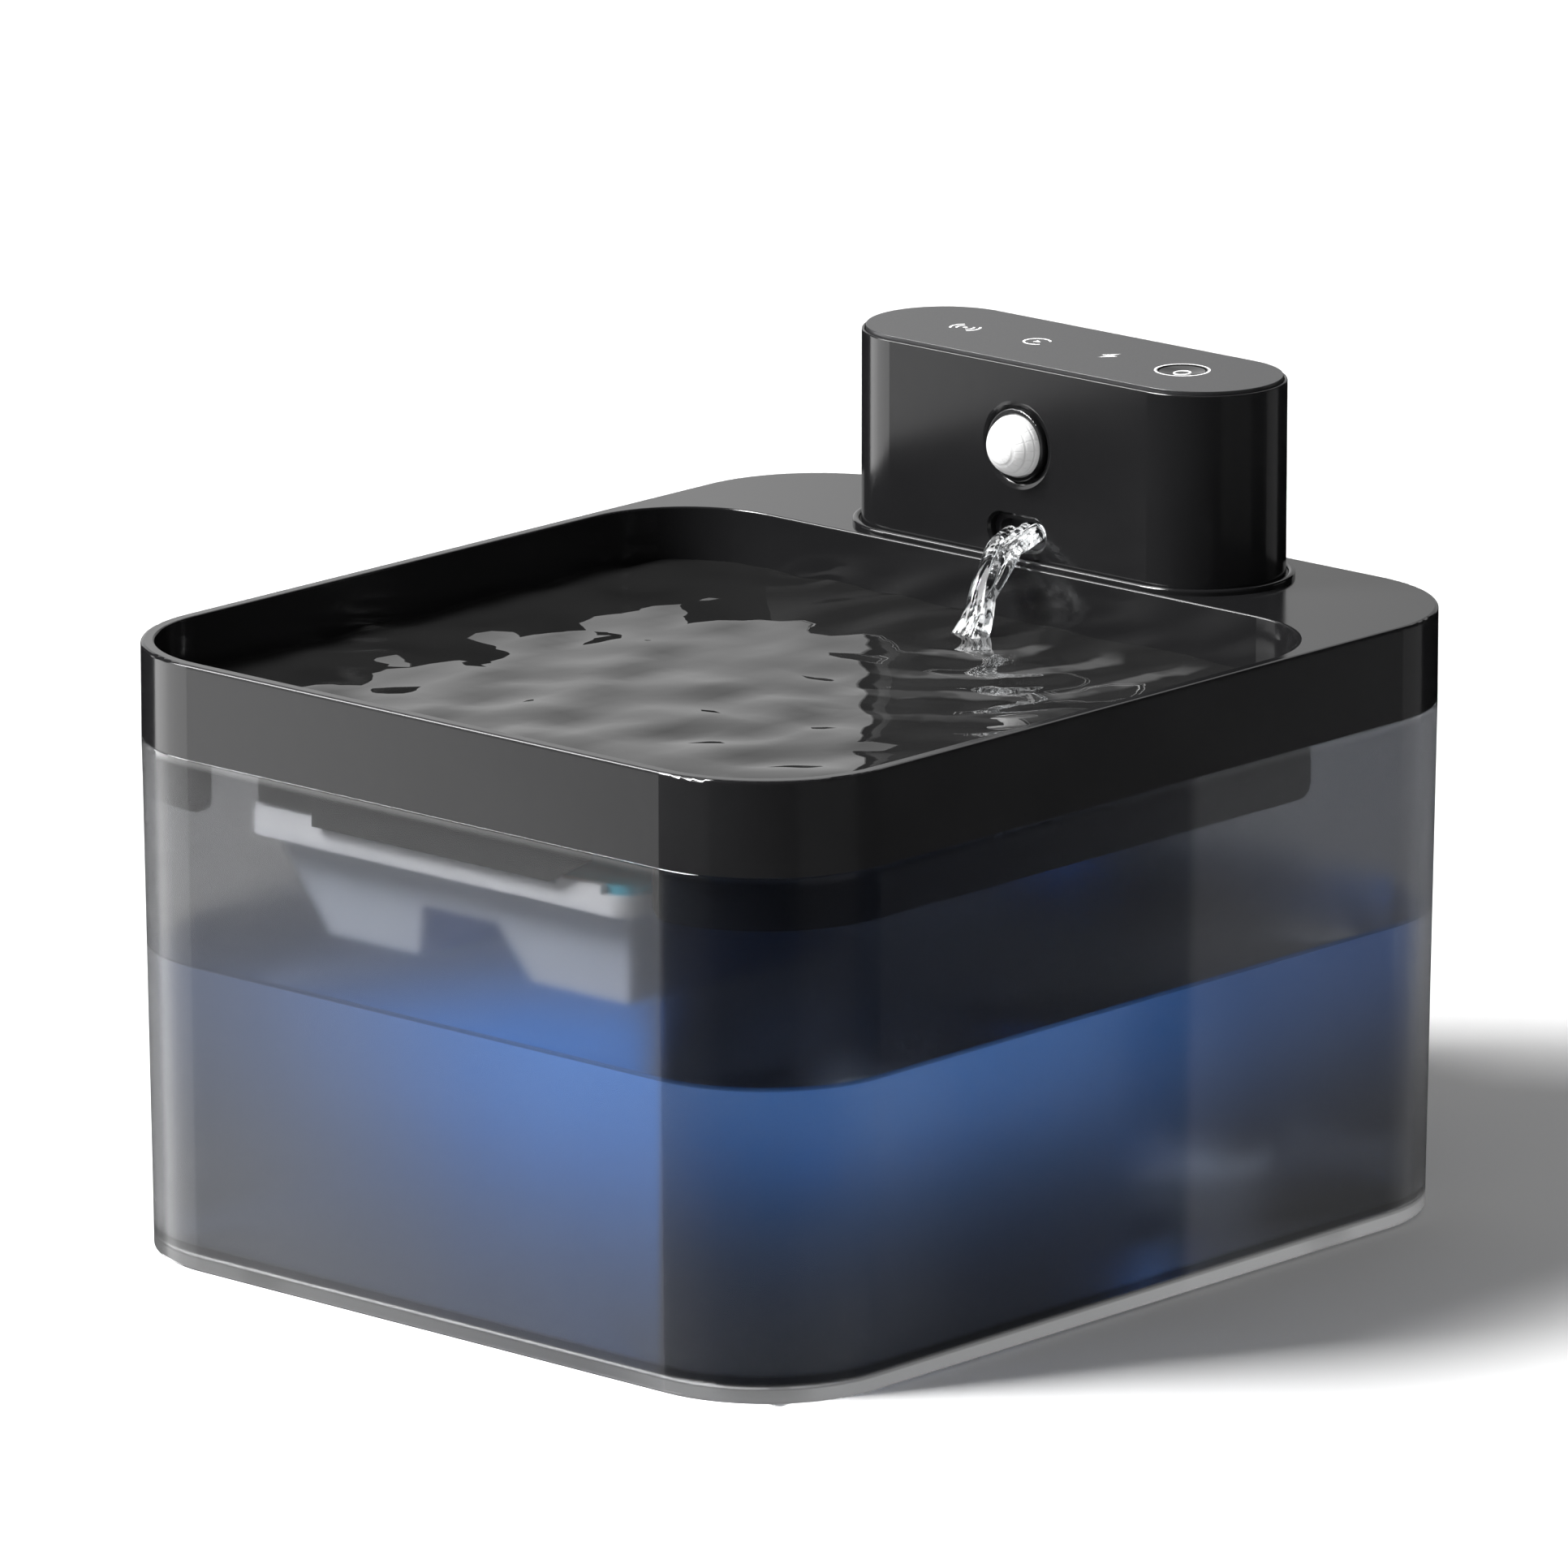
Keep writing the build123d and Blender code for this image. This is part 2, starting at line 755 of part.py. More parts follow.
# ---------------------------------------------------------------- head shell
with BuildPart() as head_shell:
    with BuildSketch(head_level(head_bottom)):
        SlotCenterToCenter(head_centres, 2 * head_radius)
    extrude(amount=shell_top - head_bottom)
    with BuildSketch(head_level(head_bottom)):
        SlotCenterToCenter(head_centres, 2 * (head_radius - head_wall))
    extrude(amount=panel_bottom - head_bottom, mode=Mode.SUBTRACT)
    with BuildSketch(head_level(panel_bottom)):
        SlotCenterToCenter(head_centres, 2 * (head_radius - panel_inset))
    extrude(amount=shell_top - panel_bottom, mode=Mode.SUBTRACT)
    fillet(head_shell.edges().group_by(Axis.Z)[-1], head_rim_fillet)

    # Dished seat of the motion sensor, with a thicker wall behind it.
    with BuildSketch(facing_front(0, pir_back, pir_z)):
        Circle(pir_boss_radius)
    extrude(amount=pir_boss_depth + head_wall / 2)
    with BuildSketch(facing_right(0, head_front, pir_z)):
        with BuildLine():
            RadiusArc(
                (0, pir_dish_radius), (pir_dish_depth, pir_hole_radius), -pir_dish_depth * 2
            )
            Polyline((pir_dish_depth, pir_hole_radius), (pir_dish_depth, 0), (0, 0))
            Line((0, 0), (0, pir_dish_radius))
        make_face()
    revolve(axis=Axis((0, head_front, pir_z), (0, 1, 0)), mode=Mode.SUBTRACT)
    collar_length = pir_back - head_front + pir_collar_proud
    with BuildSketch(facing_front(0, pir_back, pir_z)):
        Circle(pir_collar_radius)
    extrude(amount=collar_length)
    fillet(head_shell.edges().group_by(Axis.Y)[0], pir_collar_edge)
    with BuildSketch(facing_front(0, pir_back, pir_z)):
        Circle(pir_hole_radius)
    extrude(amount=collar_length, mode=Mode.SUBTRACT)

    # Spout slot.
    with BuildSketch(facing_front(0, wall_inside_front, spout_z)):
        SlotOverall(spout_width, spout_height)
    extrude(amount=head_wall, mode=Mode.SUBTRACT)
    slot_rim = head_shell.edges().filter_by_position(
        Axis.Y, head_front - 0.01, head_front + 0.01
    )
    slot_rim = slot_rim.filter_by_position(
        Axis.Z, spout_z - spout_height / 2 - 0.1, spout_z + spout_height / 2 + 0.1
    )
    chamfer(slot_rim, spout_chamfer)

    # Charging port: a recess for its cap and a hole for the socket.
    with BuildSketch(facing_back(port_x, wall_inside_back - port_boss_depth, port_z)):
        Rectangle(port_boss_width, port_boss_height)
    extrude(amount=port_boss_depth + head_wall / 2)
    with BuildSketch(facing_back(port_x, port_recess_floor, port_z)):
        RectangleRounded(port_recess_width, port_recess_height, port_recess_height / 2.2)
    extrude(amount=port_recess, mode=Mode.SUBTRACT)
    with BuildSketch(facing_back(port_x, wall_inside_back - port_boss_depth, port_z)):
        RectangleRounded(
            socket_width + 2 * socket_fit,
            socket_height + 2 * socket_fit,
            socket_height / 2.2,
        )
    extrude(amount=port_boss_depth + head_wall, mode=Mode.SUBTRACT)

    # Screw bosses, ribbed to the rounded ends.
    for side in (-1, 1):
        with BuildSketch(level(side * screw_x, head_y, base_top)):
            Circle(boss_radius)
            rib_length = head_centres / 2 + head_radius - head_wall / 2 - screw_x
            with Locations((side * rib_length / 2, 0)):
                Rectangle(rib_length, rib_thickness)
        extrude(amount=boss_height)
        with BuildSketch(level(side * screw_x, head_y, base_top)):
            Circle(screw_shank + screw_pilot_gap)
        extrude(amount=screw_length, mode=Mode.SUBTRACT)
head_shell.part.label = "head_shell"
export_step(head_shell.part, "parts/head_shell.step")

# ---------------------------------------------------------------- top panel
icon_plane = level(0, head_y, head_top - icon_depth)
sensor_icon_x = -1.5 * icon_pitch
timer_icon_x = -0.5 * icon_pitch
charge_icon_x = 0.5 * icon_pitch
half_turn = 180
wave_arcs = [
    CenterArc((sensor_icon_x, 0), radius, middle - wave_sweep / 2, wave_sweep)
    for radius in wave_radii
    for middle in (0, half_turn)
]
timer_arc = CenterArc((timer_icon_x, 0), timer_radius, timer_start, timer_sweep)
bolt_points = [
    (charge_icon_x + across * bolt_width / 2, up * bolt_height / 2)
    for across, up in (
        (0.47, 1.0),
        (-1.0, -0.17),
        (-0.1, -0.17),
        (-0.47, -1.0),
        (1.0, 0.17),
        (0.1, 0.17),
    )
]


def icon_shapes():
    """Sensor waves, a timer ring and a charging bolt, as one sketch."""
    with BuildSketch() as shapes:
        for arc in wave_arcs:
            SlotArc(arc, icon_stroke)
        with Locations((sensor_icon_x, 0)):
            Circle(icon_stroke)
        SlotArc(timer_arc, icon_stroke)
        with Locations((timer_icon_x, 0)):
            RegularPolygon(timer_hand, 3)
        with BuildLine():
            Polyline(bolt_points, close=True)
        make_face()
    return shapes.sketch


with BuildPart() as top_panel:
    with BuildSketch(head_level(panel_bottom)):
        SlotCenterToCenter(head_centres, 2 * (head_radius - panel_inset - panel_gap))
    extrude(amount=panel_thickness)
    fillet(top_panel.edges().group_by(Axis.Z)[-1], panel_gap)
    with BuildSketch(icon_plane):
        add(icon_shapes())
    extrude(amount=icon_depth, mode=Mode.SUBTRACT)
    with BuildSketch(level(power_x, head_y, panel_bottom)):
        Circle(ring_radius)
    extrude(amount=panel_thickness, mode=Mode.SUBTRACT)
top_panel.part.label = "top_panel"
export_step(top_panel.part, "parts/top_panel.step")

with BuildPart() as panel_icons:
    with BuildSketch(icon_plane):
        add(icon_shapes())
    extrude(amount=icon_depth)
panel_icons.part.label = "panel_icons"
export_step(panel_icons.part, "parts/panel_icons.step")

with BuildPart() as power_ring:
    with BuildSketch(level(power_x, head_y, panel_bottom)):
        Circle(ring_radius)
        Circle(ring_bore, mode=Mode.SUBTRACT)
    extrude(amount=panel_thickness)
power_ring.part.label = "power_ring"
export_step(power_ring.part, "parts/power_ring.step")

# ---------------------------------------------------------------- power key
key_top = head_top - key_recess
key_flange_top = panel_bottom - key_flange_gap
key_flange_bottom = key_flange_top - key_flange
plunger_top = key_flange_bottom - 2 * switch_gap - key_travel
with BuildPart() as power_button:
    with BuildSketch(level(power_x, head_y, key_flange_top)):
        Circle(key_radius)
    extrude(amount=key_top - key_flange_top)
    dish_radius = (key_radius**2 + key_dish**2) / (2 * key_dish)
    with Locations((power_x, head_y, key_top + dish_radius - key_dish)):
        Sphere(dish_radius, mode=Mode.SUBTRACT)
    with BuildSketch(level(power_x, head_y, key_flange_bottom)):
        Circle(key_flange_radius)
    extrude(amount=key_flange)
    with BuildSketch(level(power_x, head_y, plunger_top + switch_gap + key_travel)):
        Circle(key_stem_radius)
    extrude(amount=key_flange)
power_button.part.label = "power_button"
export_step(power_button.part, "parts/power_button.step")

with BuildPart() as tact_switch:
    with BuildSketch(level(power_x, head_y, board_top)):
        Rectangle(switch_size, switch_size)
    extrude(amount=switch_height)
    with BuildSketch(level(power_x, head_y, switch_top)):
        Circle(key_stem_radius)
    extrude(amount=plunger_top - switch_top)
tact_switch.part.label = "tact_switch"
export_step(tact_switch.part, "parts/tact_switch.step")

# ---------------------------------------------------------------- motion sensor
lens_base = head_front - lens_proud
cap_radius = (lens_radius**2 + lens_hump**2) / (2 * lens_hump)
cap_depth = cap_radius - lens_hump
neck_bore = math.sqrt((cap_radius - lens_wall) ** 2 - cap_depth**2)
cap_angle = math.degrees(math.atan2(lens_radius, cap_depth))
cap_bore_angle = math.degrees(math.atan2(neck_bore, cap_depth))
with BuildPart() as pir_lens:
    with BuildSketch(facing_right(0, 0, pir_z)):
        with BuildLine():
            CenterArc((lens_base + cap_depth, 0), cap_radius, 180 - cap_angle, cap_angle)
            Line((lens_base - lens_hump, 0), (lens_base - lens_hump + lens_wall, 0))
            CenterArc(
                (lens_base + cap_depth, 0),
                cap_radius - lens_wall,
                180 - cap_bore_angle,
                cap_bore_angle,
            )
            Polyline(
                (lens_base, neck_bore),
                (lens_flange_back, neck_bore),
                (lens_flange_back, lens_flange_radius),
                (pir_back, lens_flange_radius),
                (pir_back, lens_radius),
                (lens_base, lens_radius),
            )
        make_face()
    revolve(axis=Axis((0, 0, pir_z), (0, 1, 0)))
pir_lens.part.label = "pir_lens"
export_step(pir_lens.part, "parts/pir_lens.step")

with BuildPart() as pir_holder:
    with BuildSketch(facing_back(0, lens_flange_back, pir_z)):
        Circle(holder_radius)
        Circle(holder_bore, mode=Mode.SUBTRACT)
    extrude(amount=holder_length)
pir_holder.part.label = "pir_holder"
export_step(pir_holder.part, "parts/pir_holder.step")

with BuildPart() as pir_board:
    with BuildSketch(facing_back(0, holder_back, pir_z)):
        RectangleRounded(pir_board_size, pir_board_size, head_wall)
    extrude(amount=board_thickness)
pir_board.part.label = "pir_board"
export_step(pir_board.part, "parts/pir_board.step")

with BuildPart() as pir_sensor:
    with BuildSketch(facing_front(0, holder_back, pir_z)):
        Circle(sensor_radius)
    extrude(amount=sensor_height)
    with BuildSketch(facing_front(0, holder_back - sensor_height, pir_z)):
        Rectangle(sensor_window[0], sensor_window[1])
    extrude(amount=sensor_window[2])
pir_sensor.part.label = "pir_sensor"
export_step(pir_sensor.part, "parts/pir_sensor.step")

# ---------------------------------------------------------------- nozzle and tube
with BuildPart() as nozzle:
    with BuildSketch(facing_front(0, nozzle_back, spout_z)):
        SlotOverall(nozzle_width, nozzle_height)
    extrude(amount=nozzle_length)
    with BuildSketch(facing_front(0, nozzle_back - nozzle_lip, spout_z)):
        SlotOverall(nozzle_slot_width, nozzle_slot_height)
    extrude(amount=nozzle_length, mode=Mode.SUBTRACT)
    with BuildSketch(facing_back(0, nozzle_back, spout_z)):
        Circle(spigot_radius)
    extrude(amount=spigot_length)
    with BuildSketch(facing_back(0, nozzle_back - nozzle_lip, spout_z)):
        Circle(outlet_radius)
    extrude(amount=nozzle_lip + spigot_length, mode=Mode.SUBTRACT)
nozzle.part.label = "nozzle"
export_step(nozzle.part, "parts/nozzle.step")

with BuildPart() as riser_tube:
    with BuildLine():
        FilletPolyline(
            (0, head_y, pump_top),
            (0, head_y, spout_z),
            (0, nozzle_back, spout_z),
            radius=tube_bend,
        )
    with BuildSketch(head_level(pump_top)):
        Circle(tube_radius)
        Circle(tube_bore, mode=Mode.SUBTRACT)
    sweep()
riser_tube.part.label = "riser_tube"
export_step(riser_tube.part, "parts/riser_tube.step")

# ---------------------------------------------------------------- head base
with BuildPart() as head_base:
    with BuildSketch(head_level(head_bottom)):
        SlotCenterToCenter(head_centres, 2 * (head_radius - head_wall - base_gap))
    extrude(amount=base_thickness)
    with BuildSketch(head_level(head_bottom - plug_drop)):
        SlotCenterToCenter(head_centres, 2 * plug_radius)
        SlotCenterToCenter(head_centres, 2 * (plug_radius - plug_wall), mode=Mode.SUBTRACT)
    extrude(amount=plug_drop)
    with BuildSketch(head_level(base_top)):
        with Locations((-ear_screw_x, 0), (ear_screw_x, 0)):
            Circle(boss_radius)
    extrude(amount=boss_radius)
    with BuildSketch(level(port_x, charge_board_y, base_top)):
        with GridLocations(charge_post_pitch, 0, 2, 1):
            Circle(charge_post_radius)
    extrude(amount=charge_board_top - board_thickness - base_top)
    with BuildSketch(head_level(head_bottom)):
        with Locations((0, 0)):
            Circle(tube_radius + tube_hole_gap)
        with Locations((cable_x, 0)):
            Circle(cable_radius + cable_gap)
        with Locations((-screw_x, 0), (screw_x, 0)):
            Circle(screw_shank + screw_clearance)
        with Locations((-ear_screw_x, 0), (ear_screw_x, 0)):
            Circle(screw_shank + screw_pilot_gap)
    extrude(amount=base_thickness + boss_radius, mode=Mode.SUBTRACT)
head_base.part.label = "head_base"
export_step(head_base.part, "parts/head_base.step")


def screw(at_x, head_underside, length):
    """A pan-head screw that points up, its head under the given height."""
    with BuildPart() as made:
        with BuildSketch(level(at_x, head_y, head_underside)):
            Circle(screw_shank)
        extrude(amount=length)
        with BuildSketch(level(at_x, head_y, head_underside - screw_head_height)):
            Circle(screw_head)
        extrude(amount=screw_head_height)
        fillet(made.edges().group_by(Axis.Z)[0], screw_head_height / 2)
    return made.part


shell_screw_parts = [screw(side * screw_x, head_bottom, screw_length) for side in (-1, 1)]
with BuildPart() as shell_screws:
    for each in shell_screw_parts:
        add(each)
shell_screws.part.label = "shell_screws"
export_step(shell_screws.part, "parts/shell_screws.step")

column_screw_length = ear_thickness + base_thickness + boss_radius / 2
column_screw_parts = [
    screw(side * ear_screw_x, head_bottom - ear_thickness, column_screw_length)
    for side in (-1, 1)
]
with BuildPart() as column_screws:
    for each in column_screw_parts:
        add(each)
column_screws.part.label = "column_screws"
export_step(column_screws.part, "parts/column_screws.step")

with BuildPart() as socket_seal:
    with BuildSketch(head_level(rim_top - seal_depth)):
        SlotCenterToCenter(head_centres, 2 * (seal_radius - seal_gap))
        SlotCenterToCenter(head_centres, 2 * (plug_radius + seal_lip_gap), mode=Mode.SUBTRACT)
    extrude(amount=seal_depth)
socket_seal.part.label = "socket_seal"
export_step(socket_seal.part, "parts/socket_seal.step")

# ---------------------------------------------------------------- pump column
column_front = head_y - column_depth / 2
with BuildPart() as pump_column:
    with BuildSketch(head_level(pump_top)):
        RectangleRounded(column_width, column_depth, column_radius)
    extrude(amount=head_bottom - pump_top)
    with BuildSketch(head_level(head_bottom - ear_thickness)):
        for side in (-1, 1):
            with Locations((side * (column_width + ear_reach) / 2, 0)):
                Rectangle(ear_reach + column_wall, ear_width)
    extrude(amount=ear_thickness)
    with BuildSketch(head_level(pump_top)):
        RectangleRounded(
            column_width - 2 * column_wall,
            column_depth - 2 * column_wall,
            column_radius - column_wall,
        )
    extrude(amount=head_bottom - pump_top, mode=Mode.SUBTRACT)
    with BuildSketch(head_level(head_bottom - ear_thickness)):
        with Locations((-ear_screw_x, 0), (ear_screw_x, 0)):
            Circle(screw_shank + screw_clearance)
    extrude(amount=ear_thickness, mode=Mode.SUBTRACT)
    with BuildSketch(facing_front(0, column_front + column_wall, light_z)):
        Circle(light_radius + light_gap)
    extrude(amount=column_wall, mode=Mode.SUBTRACT)
pump_column.part.label = "pump_column"
export_step(pump_column.part, "parts/pump_column.step")

light_back = column_front - light_proud + light_length
with BuildPart() as light_lens:
    with BuildSketch(facing_front(0, light_back, light_z)):
        Circle(light_radius)
    extrude(amount=light_length)
    fillet(light_lens.edges().group_by(Axis.Y)[0], light_proud)
light_lens.part.label = "light_lens"
export_step(light_lens.part, "parts/light_lens.step")

with BuildPart() as light_board:
    with BuildSketch(facing_back(0, light_back + light_gap, light_z)):
        Rectangle(light_board_size, light_board_size)
    extrude(amount=board_thickness)
light_board.part.label = "light_board"
export_step(light_board.part, "parts/light_board.step")

with BuildPart() as pump_cable:
    with BuildSketch(level(cable_x, head_y, pump_top)):
        Circle(cable_radius)
    extrude(amount=base_top + cable_gap - pump_top)
    with BuildSketch(level(cable_x, head_y, base_top + cable_gap)):
        Rectangle(plug_block[0], plug_block[1])
    extrude(amount=plug_block[2])
pump_cable.part.label = "pump_cable"
export_step(pump_cable.part, "parts/pump_cable.step")

# ---------------------------------------------------------------- pump
pump_length = pump_right - pump_left
pump_height = pump_top - pump_bottom
pump_middle_z = (pump_top + pump_bottom) / 2


def pump_axis_plane(x):
    """A plane across the motor's shaft."""
    return facing_right(x, head_y, pump_axis_z)


def pump_outline_plane(x):
    """A plane across the pump, centred on its casing."""
    return facing_right(x, head_y, pump_middle_z)


with BuildPart() as pump_body:
    with BuildSketch(pump_outline_plane(pump_left)):
        RectangleRounded(pump_depth, pump_height, pump_corner)
    extrude(amount=pump_length)
    with BuildSketch(level(0, head_y, pump_top)):
        Circle(nipple_radius)
    extrude(amount=nipple_height)
    with BuildSketch(pump_axis_plane(pump_right - chamber_length)):
        Circle(chamber_radius)
    extrude(amount=chamber_length, mode=Mode.SUBTRACT)
    with BuildSketch(pump_axis_plane(rotor_left - 2 * rotor_gap)):
        Circle(rotor_radius + rotor_gap)
    extrude(amount=pump_right - rotor_left, mode=Mode.SUBTRACT)
    with BuildSketch(pump_axis_plane(coil_left - coil_gap)):
        Circle(coil_outer + coil_gap)
        Circle(coil_inner - coil_gap, mode=Mode.SUBTRACT)
    extrude(amount=coil_right - coil_left + 2 * coil_gap, mode=Mode.SUBTRACT)
    with BuildSketch(pump_axis_plane(shaft_left)):
        Circle(shaft_radius)
    extrude(amount=rotor_left - shaft_left, mode=Mode.SUBTRACT)
    with BuildSketch(level(0, head_y, pump_axis_z)):
        Circle(outlet_radius)
    extrude(amount=pump_top + nipple_height - pump_axis_z, mode=Mode.SUBTRACT)
pump_body.part.label = "pump_body"
export_step(pump_body.part, "parts/pump_body.step")

with BuildPart() as motor_coil:
    with BuildSketch(pump_axis_plane(coil_left)):
        Circle(coil_outer)
        Circle(coil_inner, mode=Mode.SUBTRACT)
    extrude(amount=coil_right - coil_left)
motor_coil.part.label = "motor_coil"
export_step(motor_coil.part, "parts/motor_coil.step")

shaft_right = pump_right + cover_thickness / 2
with BuildPart() as impeller_shaft:
    with BuildSketch(pump_axis_plane(shaft_left)):
        Circle(shaft_radius)
    extrude(amount=shaft_right - shaft_left)
impeller_shaft.part.label = "impeller_shaft"
export_step(impeller_shaft.part, "parts/impeller_shaft.step")

impeller_left = pump_right - chamber_length + rotor_gap
with BuildPart() as impeller:
    with BuildSketch(pump_axis_plane(rotor_left)):
        Circle(rotor_radius)
    extrude(amount=rotor_length)
    with BuildSketch(pump_axis_plane(rotor_left)):
        Circle(impeller_hub)
    extrude(amount=impeller_left + impeller_width - rotor_left)
    with BuildSketch(pump_axis_plane(impeller_left)):
        with PolarLocations(impeller_radius / 2, vane_count):
            Rectangle(impeller_radius, vane_thickness)
    extrude(amount=impeller_width)
    with BuildSketch(pump_axis_plane(rotor_left)):
        Circle(shaft_radius + shaft_clearance)
    extrude(amount=impeller_left + impeller_width - rotor_left, mode=Mode.SUBTRACT)
impeller.part.label = "impeller"
export_step(impeller.part, "parts/impeller.step")

with BuildPart() as pump_cover:
    with BuildSketch(pump_outline_plane(pump_right)):
        RectangleRounded(pump_depth, pump_height, pump_corner)
        with Locations((0, pump_axis_z - pump_middle_z)):
            Circle(inlet_radius, mode=Mode.SUBTRACT)
    extrude(amount=cover_thickness)
    with BuildSketch(pump_axis_plane(pump_right + cover_thickness / 4)):
        Circle(cover_hub)
        with PolarLocations(inlet_radius / 2, spoke_count):
            Rectangle(inlet_radius + spoke_width / 2, spoke_width)
    extrude(amount=cover_thickness / 2)
    with BuildSketch(pump_axis_plane(pump_right)):
        Circle(shaft_radius)
    extrude(amount=cover_thickness / 2, mode=Mode.SUBTRACT)
pump_cover.part.label = "pump_cover"
export_step(pump_cover.part, "parts/pump_cover.step")

with BuildPart() as strainer_cover:
    with BuildSketch(pump_outline_plane(cover_right)):
        RectangleRounded(pump_depth, pump_height, pump_corner)
    extrude(amount=strainer_length)
    fillet(strainer_cover.edges().group_by(Axis.X)[-1], strainer_wall)
    with BuildSketch(pump_outline_plane(cover_right)):
        RectangleRounded(
            pump_depth - 2 * strainer_wall,
            pump_height - 2 * strainer_wall,
            pump_corner - strainer_wall,
        )
    extrude(amount=strainer_length - strainer_wall, mode=Mode.SUBTRACT)
    with BuildSketch(pump_outline_plane(strainer_right - strainer_wall)):
        with GridLocations(strainer_slot_pitch, 0, strainer_slots, 1):
            SlotOverall(strainer_slot_height, strainer_slot_width, rotation=90)
    extrude(amount=strainer_wall, mode=Mode.SUBTRACT)
strainer_cover.part.label = "strainer_cover"
export_step(strainer_cover.part, "parts/strainer_cover.step")

with BuildPart() as pump_sponge:
    sponge_inset = strainer_wall + sponge_gap
    with BuildSketch(
        pump_outline_plane(strainer_right - strainer_wall - sponge_length - sponge_stand_off)
    ):
        RectangleRounded(
            pump_depth - 2 * sponge_inset, pump_height - 2 * sponge_inset, sponge_inset
        )
    extrude(amount=sponge_length)
pump_sponge.part.label = "pump_sponge"
export_step(pump_sponge.part, "parts/pump_sponge.step")

# ---------------------------------------------------------------- battery
with BuildPart() as battery_cell:
    with BuildSketch(facing_right(-cell_length / 2, cell_y, cell_z)):
        Circle(cell_radius)
    extrude(amount=cell_length)
    with BuildSketch(facing_right(cell_length / 2, cell_y, cell_z)):
        Circle(cell_radius / 3)
    extrude(amount=cradle_gap)
    fillet(battery_cell.edges().group_by(Axis.X)[0], cradle_gap)
battery_cell.part.label = "battery_cell"
export_step(battery_cell.part, "parts/battery_cell.step")

cradle_inner = cell_length / 2 + 2 * cradle_gap
cradle_outer = cradle_inner + cradle_end
cradle_radius = cell_radius + cradle_gap + cradle_wall
with BuildPart() as battery_cradle:
    with BuildSketch(facing_right(-cradle_outer, cell_y, cell_z)):
        Circle(cradle_radius)
        with Locations((0, cradle_radius / 2)):
            Rectangle(3 * cradle_radius, cradle_radius, mode=Mode.SUBTRACT)
        with Locations((cradle_radius, 0)):
            Rectangle(
                2 * (cell_y + cradle_radius - wall_inside_back + cradle_gap),
                3 * cradle_radius,
                mode=Mode.SUBTRACT,
            )
    extrude(amount=2 * cradle_outer)
    for side in (-1, 1):
        end_plane = facing_right(side * (cradle_inner + cradle_end / 2), cell_y, cell_z)
        with BuildSketch(end_plane):
            with Locations((0, (main_board_bottom - cell_z) / 2)):
                Rectangle(cell_radius, main_board_bottom - cell_z)
        extrude(amount=cradle_end / 2, both=True)
    for leg_x in cradle_leg_positions:
        leg_y = cell_y + cell_radius - cradle_leg_depth
        with BuildSketch(level(leg_x, leg_y, base_top)):
            Rectangle(cradle_leg_width, cradle_leg_depth)
        extrude(amount=cell_z - cell_radius - base_top + cradle_leg_depth)
    with BuildSketch(facing_right(-cradle_inner, cell_y, cell_z)):
        Circle(cell_radius + cradle_gap)
    extrude(amount=2 * cradle_inner, mode=Mode.SUBTRACT)
battery_cradle.part.label = "battery_cradle"
export_step(battery_cradle.part, "parts/battery_cradle.step")

# ---------------------------------------------------------------- boards
with BuildPart() as main_board:
    with BuildSketch(head_level(main_board_bottom)):
        SlotOverall(main_board_width, main_board_depth)
        with Locations((0, (main_board_notch[1] - main_board_depth) / 2)):
            Rectangle(*main_board_notch, mode=Mode.SUBTRACT)
    extrude(amount=main_board_thickness)
main_board.part.label = "main_board"
export_step(main_board.part, "parts/main_board.step")

with BuildPart() as touch_springs:
    with BuildSketch(head_level(board_top)):
        with Locations((sensor_icon_x, 0), (timer_icon_x, 0), (charge_icon_x, 0)):
            Circle(spring_radius)
            Circle(spring_radius / 2, mode=Mode.SUBTRACT)
    extrude(amount=panel_bottom - board_top)
touch_springs.part.label = "touch_springs"
export_step(touch_springs.part, "parts/touch_springs.step")

with BuildPart() as indicator_leds:
    with BuildSketch(level(0, head_y + 2 * spring_radius, board_top)):
        with GridLocations(icon_pitch, 0, 4, 1):
            Rectangle(led_size, led_size)
    extrude(amount=led_height)
indicator_leds.part.label = "indicator_leds"
export_step(indicator_leds.part, "parts/indicator_leds.step")

# ---------------------------------------------------------------- charging port
with BuildPart() as charge_socket:
    with BuildSketch(facing_front(port_x, socket_mouth, port_z)):
        RectangleRounded(socket_width, socket_height, socket_height / 2.2)
        RectangleRounded(
            socket_width - 2 * socket_shell,
            socket_height - 2 * socket_shell,
            socket_height / 2.2 - socket_shell,
            mode=Mode.SUBTRACT,
        )
    extrude(amount=socket_length)
    with BuildSketch(facing_back(port_x, socket_mouth - socket_length, port_z)):
        RectangleRounded(socket_width, socket_height, socket_height / 2.2)
    extrude(amount=socket_length / 4)
    with BuildSketch(facing_back(port_x, socket_mouth - socket_length, port_z)):
        Rectangle(tongue_size[0], tongue_size[1])
    extrude(amount=socket_length - plug_nub[2])
charge_socket.part.label = "charge_socket"
export_step(charge_socket.part, "parts/charge_socket.step")

with BuildPart() as charge_board:
    with BuildSketch(level(port_x, charge_board_y, charge_board_top - board_thickness)):
        Rectangle(*charge_board_size)
    extrude(amount=board_thickness)
charge_board.part.label = "charge_board"
export_step(charge_board.part, "parts/charge_board.step")

